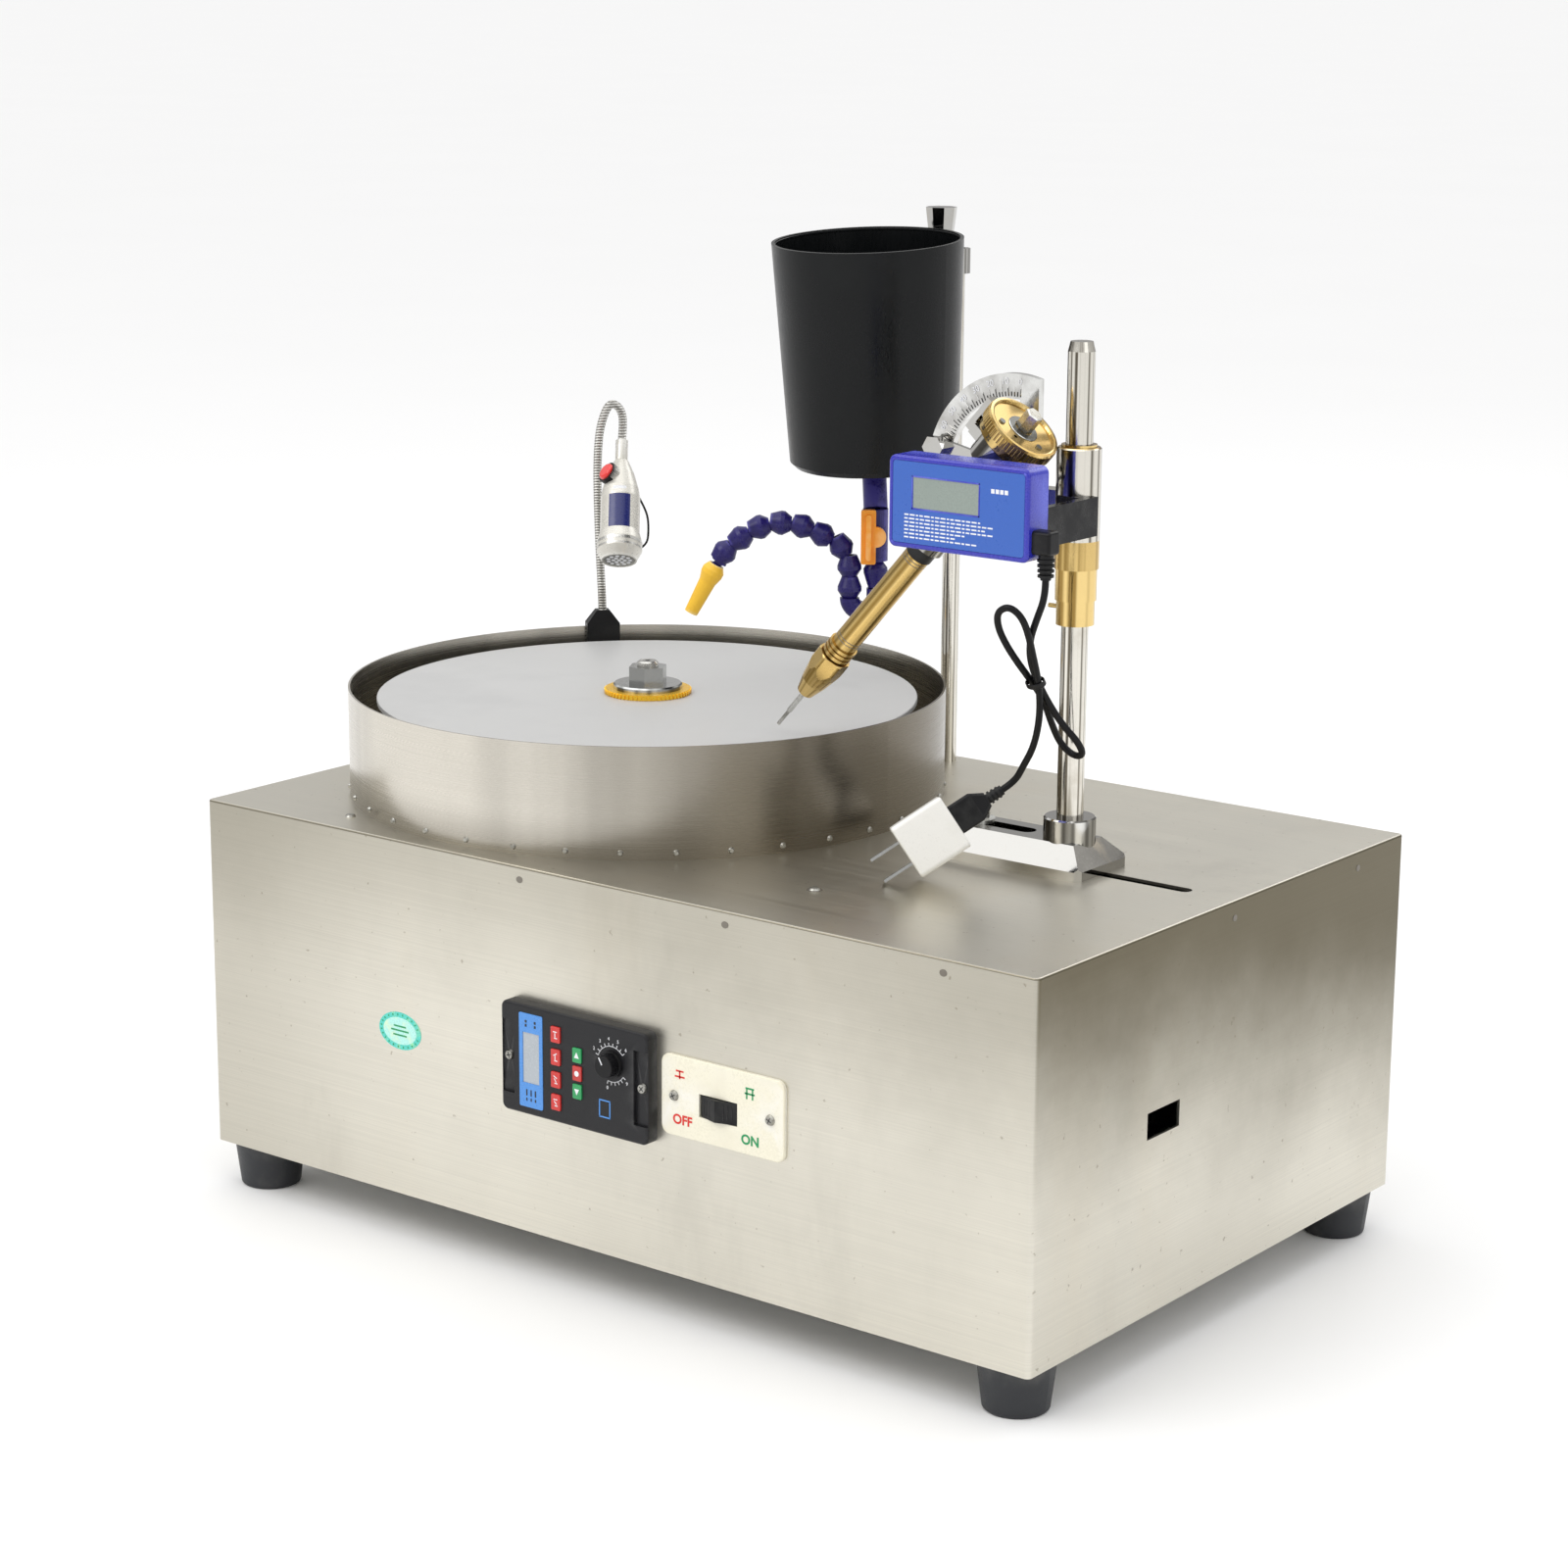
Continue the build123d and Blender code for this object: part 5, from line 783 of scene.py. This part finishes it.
marks("panel_mark", "strip", ROOT, blue_mark)

# switch plate
plate_face = Plate((0, front_of("switch_plate"), 0), (1, 0, 0), (0, 0, 1))
plate_face.text("switch_off", "OFF", 66.4, 111.6, 7.2, "ink_red", ROOT, bold=0.028)
plate_face.text("switch_on", "ON", 110.2, 110.2, 7.2, "ink_green", ROOT, bold=0.028)


def off_sign(work):
    for u, v, w, h in ((64.6, 137.6, 5, 0.9), (64.6, 134.6, 6.4, 0.9), (64.6, 135.6, 0.9, 4.4)):
        plate_face.bar(work, u, v, w, h, 0.06)


def on_sign(work):
    for u, v, w, h in ((109.8, 137.6, 5.4, 0.9), (109.8, 134.8, 6.4, 0.9), (107.9, 134.6, 0.9, 5.4),
                       (111.6, 134.6, 0.9, 5.4)):
        plate_face.bar(work, u, v, w, h, 0.06)


marks("off_sign", "ink_red", ROOT, off_sign)
marks("on_sign", "ink_green", ROOT, on_sign)


def screw_slots(work):
    for u, board_y, v, turn in ((-47.4, -184.9, 125, 0.3), (43.4, -184.9, 125, 0.9), (60.9, -180.9, 124, 0.5),
                                (122.9, -180.9, 124, 1.1)):
        board = Plate((u, board_y, v), (1, 0, 0), (0, 0, 1))
        board.bar(work, 0, 0, 3.4, 0.6, -0.02, turn)
        board.bar(work, 0, 0, 3.4, 0.6, -0.02, turn + math.pi / 2)


marks("screw_slots", "ink_black", ROOT, screw_slots)


def rocker_grooves(work):
    x, y, z = centre("rocker")
    for side in (-1, 1):
        for i in range(3):
            u = side * (4.5 + i * 2.2)
            board = Plate((x, front_of("rocker") + abs(u) * 0.323, z), (1, 0, 0), (0, 0, 1))
            board.bar(work, u, 0, 0.5, 8, 0.12)


marks("rocker_ridges", "black_gloss", "power_rocker", rocker_grooves)

# ---------------------------------------------------------------- gauge
gauge = Plate((152.9, front_of("gauge_case") + 0.1, 421.2), (1, 0, 0), (0, 0, 1))
second_finish("gauge_face", "lcd",
              lambda c, n: abs(c.x / MM - 145.4) < 19.9 and abs(c.z / MM - 426.4) < 7.7 and n.y < -0.9)


def lcd_frame(work):
    sides = ((-7.5, 13.4, 41.4, 0.7), (-7.5, -3.0, 41.4, 0.7), (-27.9, 5.2, 0.7, 17), (12.9, 5.2, 0.7, 17))
    for u, v, w, h in sides:
        gauge.bar(work, u, v, w, h, 0.06)


marks("lcd_frame", "case_blue", "head", lcd_frame)


def gauge_print(work):
    widths = (46, 52, 49, 55, 38, 30, 44)
    for row, width in enumerate(widths):
        v = -6.2 - row * 1.9
        u = -32.5
        step = 0
        while u < -33 + width:
            length = (2.6, 1.7, 3.4, 2.1, 1.3, 3.0)[(step * 5 + row * 3) % 6]
            gauge.bar(work, u + length / 2, v, length, 0.75, 0.05)
            u += length + 0.8
            step += 1
    for i in range(4):
        gauge.bar(work, 21 + i * 2.7, 10.6, 2.0, 2.2, 0.05)


marks("gauge_print", "ink_white", "head", gauge_print)

# ---------------------------------------------------------------- protractor numbers and marks
arc = Plate((144.4, -8.5, 428.7), (1, 0, 0), (0, 0, 1))


def degree_marks(work):
    for i in range(37):
        angle = math.radians(85 + i * 2.5)
        long_mark = i % 4 == 0
        length = 4.2 if long_mark else 2.4
        radius = 41.6 + length / 2
        arc.bar(work, radius * math.cos(angle), radius * math.sin(angle), length, 0.35, 0.28, angle)


marks("degree_marks", "ink_black", "head", degree_marks)
DEGREE_NUMBERS = 49.3
for i in range(9):
    angle = math.radians(86 + i * 11)
    arc.text(f"degree_{i * 10}", str(i * 10), DEGREE_NUMBERS * math.cos(angle),
             DEGREE_NUMBERS * math.sin(angle), 4.6, "ink_white", "head", angle - math.pi / 2, 0.2)

# ---------------------------------------------------------------- index wheel numbers
QUILL = math.radians(48.335)
quill_dir = Vector((math.cos(QUILL), 0, math.sin(QUILL)))
tip = Vector((11.2, -31, 285.1))
wheel_across = Vector((0, 1, 0))
wheel_up = quill_dir.cross(wheel_across)


def along_quill(distance):
    return tip + quill_dir * distance


for i in range(16):
    angle = i * math.tau / 16 + math.tau / 32
    radial = wheel_across * math.cos(angle) + wheel_up * math.sin(angle)
    tangent = quill_dir.cross(radial)
    board = Plate(along_quill(223.6) + radial * 19.2, tangent, quill_dir)
    board.text(f"index_number_{i * 4 + 4}", str(i * 4 + 4), 0, 0, 3.2, "ink_black", "index")


def on_end_nut(c, n):
    """Whether a face of the index wheel belongs to its small hexagonal end nut."""
    offset = Vector(c) / MM - tip
    distance = offset.dot(quill_dir)
    near_axis = (offset - quill_dir * distance).length < 6.5
    return distance > 226 and near_axis and (abs(Vector(n).dot(quill_dir)) < 0.4 or distance > 233)


second_finish("index_wheel", "hex_steel", on_end_nut)


def quill_ring(work, rows):
    """A turned ring round the quill from (distance, radius) pairs, closed back on itself."""
    count = 64
    rings = []
    for distance, radius in rows:
        rings.append([work.verts.new((along_quill(distance)
                                      + (wheel_across * math.cos(t * math.tau / count)
                                         + wheel_up * math.sin(t * math.tau / count)) * radius) * MM)
                      for t in range(count)])
    for a, b in zip(rings, rings[1:] + rings[:1]):
        for t in range(count):
            j = (t + 1) % count
            work.faces.new((a[t], a[j], b[j], b[t]))


WHEEL_RIM = ((231.2, 17.6), (232.6, 18.1), (232.9, 18.8), (232.7, 20.1), (231.2, 20.4))
WHEEL_WASHER = ((231.2, 5.0), (232.0, 5.0), (232.0, 8.2), (231.7, 8.5), (231.2, 8.5))
marks("wheel_rim", "brass", "index", lambda work: quill_ring(work, WHEEL_RIM))
marks("wheel_washer", "hex_steel", "index", lambda work: quill_ring(work, WHEEL_WASHER))


def wheel_screws(work):
    for turn in (0.5, 2.6, 4.7):
        spot = along_quill(231.2) + (wheel_across * math.cos(turn) + wheel_up * math.sin(turn)) * 13
        board = Plate(spot, wheel_across, wheel_up)
        board.oval(work, 0, 0, 1.7, 1.7, 0.9, 20)


marks("wheel_screws", "hex_steel", "index", wheel_screws)


def tube_rings(work):
    """Thin turned grooves drawn as dark rings on the brass tube."""
    for distance, radius in ((70, 7.03), (72, 7.03), (133, 7.03), (135, 7.03)):
        middle = along_quill(distance)
        count = 40
        rows = []
        for offset in (-0.25, 0.25):
            rows.append([work.verts.new((middle + quill_dir * offset
                                         + (wheel_across * math.cos(t * math.tau / count)
                                            + wheel_up * math.sin(t * math.tau / count)) * radius) * MM)
                         for t in range(count)])
        for t in range(count):
            j = (t + 1) % count
            work.faces.new((rows[0][t], rows[0][j], rows[1][j], rows[1][t]))


marks("tube_rings", "dark_steel", "quill", tube_rings)


def on_quill_ring(point):
    """Whether a point of the tube lies on its black seal ring."""
    distance = (Vector(point) / MM - tip).dot(quill_dir)
    return 136.8 < distance < 145.2


second_finish("quill_tube", "black", lambda c, n: on_quill_ring(c))

# ---------------------------------------------------------------- flange rim, thread and clamp details
AXIS = Vector((-109, 3, 0))


def rim_teeth(work):
    """Scalloped rim of the brass flange."""
    count = 60
    for i in range(count):
        angle = i * math.tau / count
        board = Plate(AXIS + Vector((23.9 * math.cos(angle), 23.9 * math.sin(angle), 281.8)),
                      (-math.sin(angle), math.cos(angle), 0), (0, 0, 1))
        board.oval(work, 0, 0, 0.85, 1.3, 0.7, 8)


marks("flange_rim", "brass_bright", "spindle", rim_teeth)


def thread(name, spot, radius, bottom, top, pitch, key, body):
    """A cut thread round a stud, as a wound ridge."""
    work = bmesh.new()
    per_turn = 28
    steps = int((top - bottom) / pitch * per_turn)
    rows = []
    for i in range(steps + 1):
        angle = i * math.tau / per_turn
        z = bottom + pitch * i / per_turn
        crest = ((radius - 0.2, -0.35 * pitch), (radius + 0.22, 0), (radius - 0.2, 0.35 * pitch))
        rows.append([work.verts.new(Vector((spot[0] + r * math.cos(angle), spot[1] + r * math.sin(angle),
                                            z + dz)) * MM) for r, dz in crest])
    for a, b in zip(rows, rows[1:]):
        for k in range(2):
            work.faces.new((a[k], b[k], b[k + 1], a[k + 1]))
    bmesh.ops.recalc_face_normals(work, faces=work.faces)
    return piece(name, from_bmesh(name, work), key, body)


thread("spindle_thread", (-109, 3), 6.0, 296.2, 298.2, 1.0, "steel", "spindle")
thread("bolt_thread", (120, 2), 3.4, 250.3, 251.8, 0.8, "steel", "mast_carriage")

# ---------------------------------------------------------------- charger prongs
CHARGER_FACE = Vector((129.6, -77.1, 242.0))
CHARGER_DIR = Vector((0.5815, 0.6116, 0.5364))
second_finish("mast_sleeve", "brass", lambda c, n: c.z / MM > 446.2)
second_finish("brass_collars", "brass_matt", lambda c, n: c.z / MM > 384)
second_finish("charger", "hex_steel",
              lambda c, n: (Vector(c) / MM - CHARGER_FACE).dot(CHARGER_DIR) < -0.3)

# ---------------------------------------------------------------- lamp dress
LAMP_DIR = Vector((0.324, -0.419, -0.848)).normalized()
LAMP_TOP = Vector((-231.6, 125.3, 399))
SIDE = Vector((0.79, 0.613, 0)).normalized()
lamp_front = LAMP_DIR.cross(SIDE)


def lamp_shell(work, start, end, low, high, radius, proud=0.12, count=20):
    """A curved band on the lamp's barrel between two angles round it."""
    rows = []
    for distance in (start, end):
        rows.append([])
        for lift in (0.0, proud):
            ring = []
            for i in range(count + 1):
                angle = math.radians(low + (high - low) * i / count)
                spot = (LAMP_TOP + LAMP_DIR * distance
                        + (SIDE * math.cos(angle) + lamp_front * math.sin(angle)) * (radius + lift))
                ring.append(work.verts.new(spot * MM))
            rows[-1].append(ring)
    (in_a, out_a), (in_b, out_b) = rows
    for i in range(count):
        work.faces.new((out_a[i], out_a[i + 1], out_b[i + 1], out_b[i]))
        work.faces.new((in_a[i], in_a[i + 1], out_a[i + 1], out_a[i]))
        work.faces.new((in_b[i], in_b[i + 1], out_b[i + 1], out_b[i]))
    for i in (0, count):
        work.faces.new((in_a[i], out_a[i], out_b[i], in_b[i]))


marks("lamp_band", "navy", "lamp", lambda work: lamp_shell(work, 39, 60, 58, 122, 11.9))
marks("lamp_patch", "ink_white", "lamp", lambda work: lamp_shell(work, 34, 39, 70, 110, 11.45))
marks("lamp_ring", "steel", "lamp", lambda work: lamp_shell(work, 66.6, 68.2, 0, 359.9, 13.6, 0.15, 48))
marks("lamp_ring_low", "steel", "lamp", lambda work: lamp_shell(work, 70.4, 71.4, 0, 359.9, 13.6, 0.15, 48))


def led_dots(work):
    board = Plate(LAMP_TOP + LAMP_DIR * 77.7, SIDE, LAMP_DIR.cross(SIDE))
    for radius, count in ((0, 1), (3.4, 6), (6.6, 11)):
        for i in range(count):
            angle = i * math.tau / count
            board.oval(work, radius * math.cos(angle), radius * math.sin(angle), 1.2, 1.2, 0.1, 12)


marks("led_dots", "ink_white", "lamp", led_dots)


clip_path = [(34, 11.6), (40, 15.5), (47, 18.4), (58, 18.8), (64, 17.6), (67, 14.2)]
clip_points = []
for distance, radius in clip_path:
    clip_spot = LAMP_TOP + LAMP_DIR * distance + (SIDE * 0.9 - lamp_front * 0.43) * radius
    clip_points.append(tuple(clip_spot))
cord_curve("lamp_clip", clip_points, 1.3 * MM, "black_gloss", "lamp")


def second_ring(point):
    offset = Vector(point) / MM - (LAMP_TOP + LAMP_DIR * 27)
    along_button = offset.dot(Vector((-0.34497, -0.733903, 0.585135)))
    return along_button > 9.2 and offset.cross(Vector((-0.34497, -0.733903, 0.585135))).length < 7.2


second_finish("lamp_head", "black", lambda c, n: second_ring(c))

# ---------------------------------------------------------------- cord tie
tie_spot = Vector((188.2, -49.0, 334.0))


def tie_ring(work):
    """A flat black tie wrapped round the three runs of cord."""
    axis_dir = Vector((0.08, 0.5, -0.86)).normalized()
    across = Vector((1, 0, 0))
    across = (across - axis_dir * across.dot(axis_dir)).normalized()
    normal = axis_dir.cross(across)
    count = 32
    grid = []
    for offset, grow in ((-1.6, -0.15), (-1.2, 0.25), (1.2, 0.25), (1.6, -0.15)):
        grid.append([work.verts.new((tie_spot + axis_dir * offset
                                     + across * (5.3 + grow) * math.cos(t * math.tau / count)
                                     + normal * (3.9 + grow) * math.sin(t * math.tau / count)) * MM)
                     for t in range(count)])
    for a, b in zip(grid, grid[1:]):
        for t in range(count):
            j = (t + 1) % count
            work.faces.new((a[t], a[j], b[j], b[t]))


marks("cord_tie", "black", "head", tie_ring)

# ---------------------------------------------------------------- tank rim details
tank_lean = math.radians(3.9)
TANK = Vector((-27.9, 105.9, 407.4))
tank_up = Vector((0, -math.sin(tank_lean), math.cos(tank_lean)))
tank_across = Vector((1, 0, 0))
tank_deep = tank_up.cross(tank_across)


def tank_rings(work):
    """Rolled lip just inside the rim and one faint moulded step."""
    count = 72
    for height, radius, wide in ((124.6, 51.9, 0.9), (12, 46.2, 0.3)):
        rows = []
        for offset, out in ((-wide, 0.0), (-wide / 2, -0.5), (wide / 2, -0.5), (wide, 0.0)):
            middle = TANK + tank_up * (height + offset)
            rows.append([work.verts.new((middle + (tank_across * math.cos(t * math.tau / count)
                                                   + tank_deep * math.sin(t * math.tau / count))
                                         * (radius + out)) * MM) for t in range(count)])
        for a, b in zip(rows, rows[1:]):
            for t in range(count):
                j = (t + 1) % count
                work.faces.new((a[t], a[j], b[j], b[t]))


marks("tank_lip", "tank", "tank_group", tank_rings)
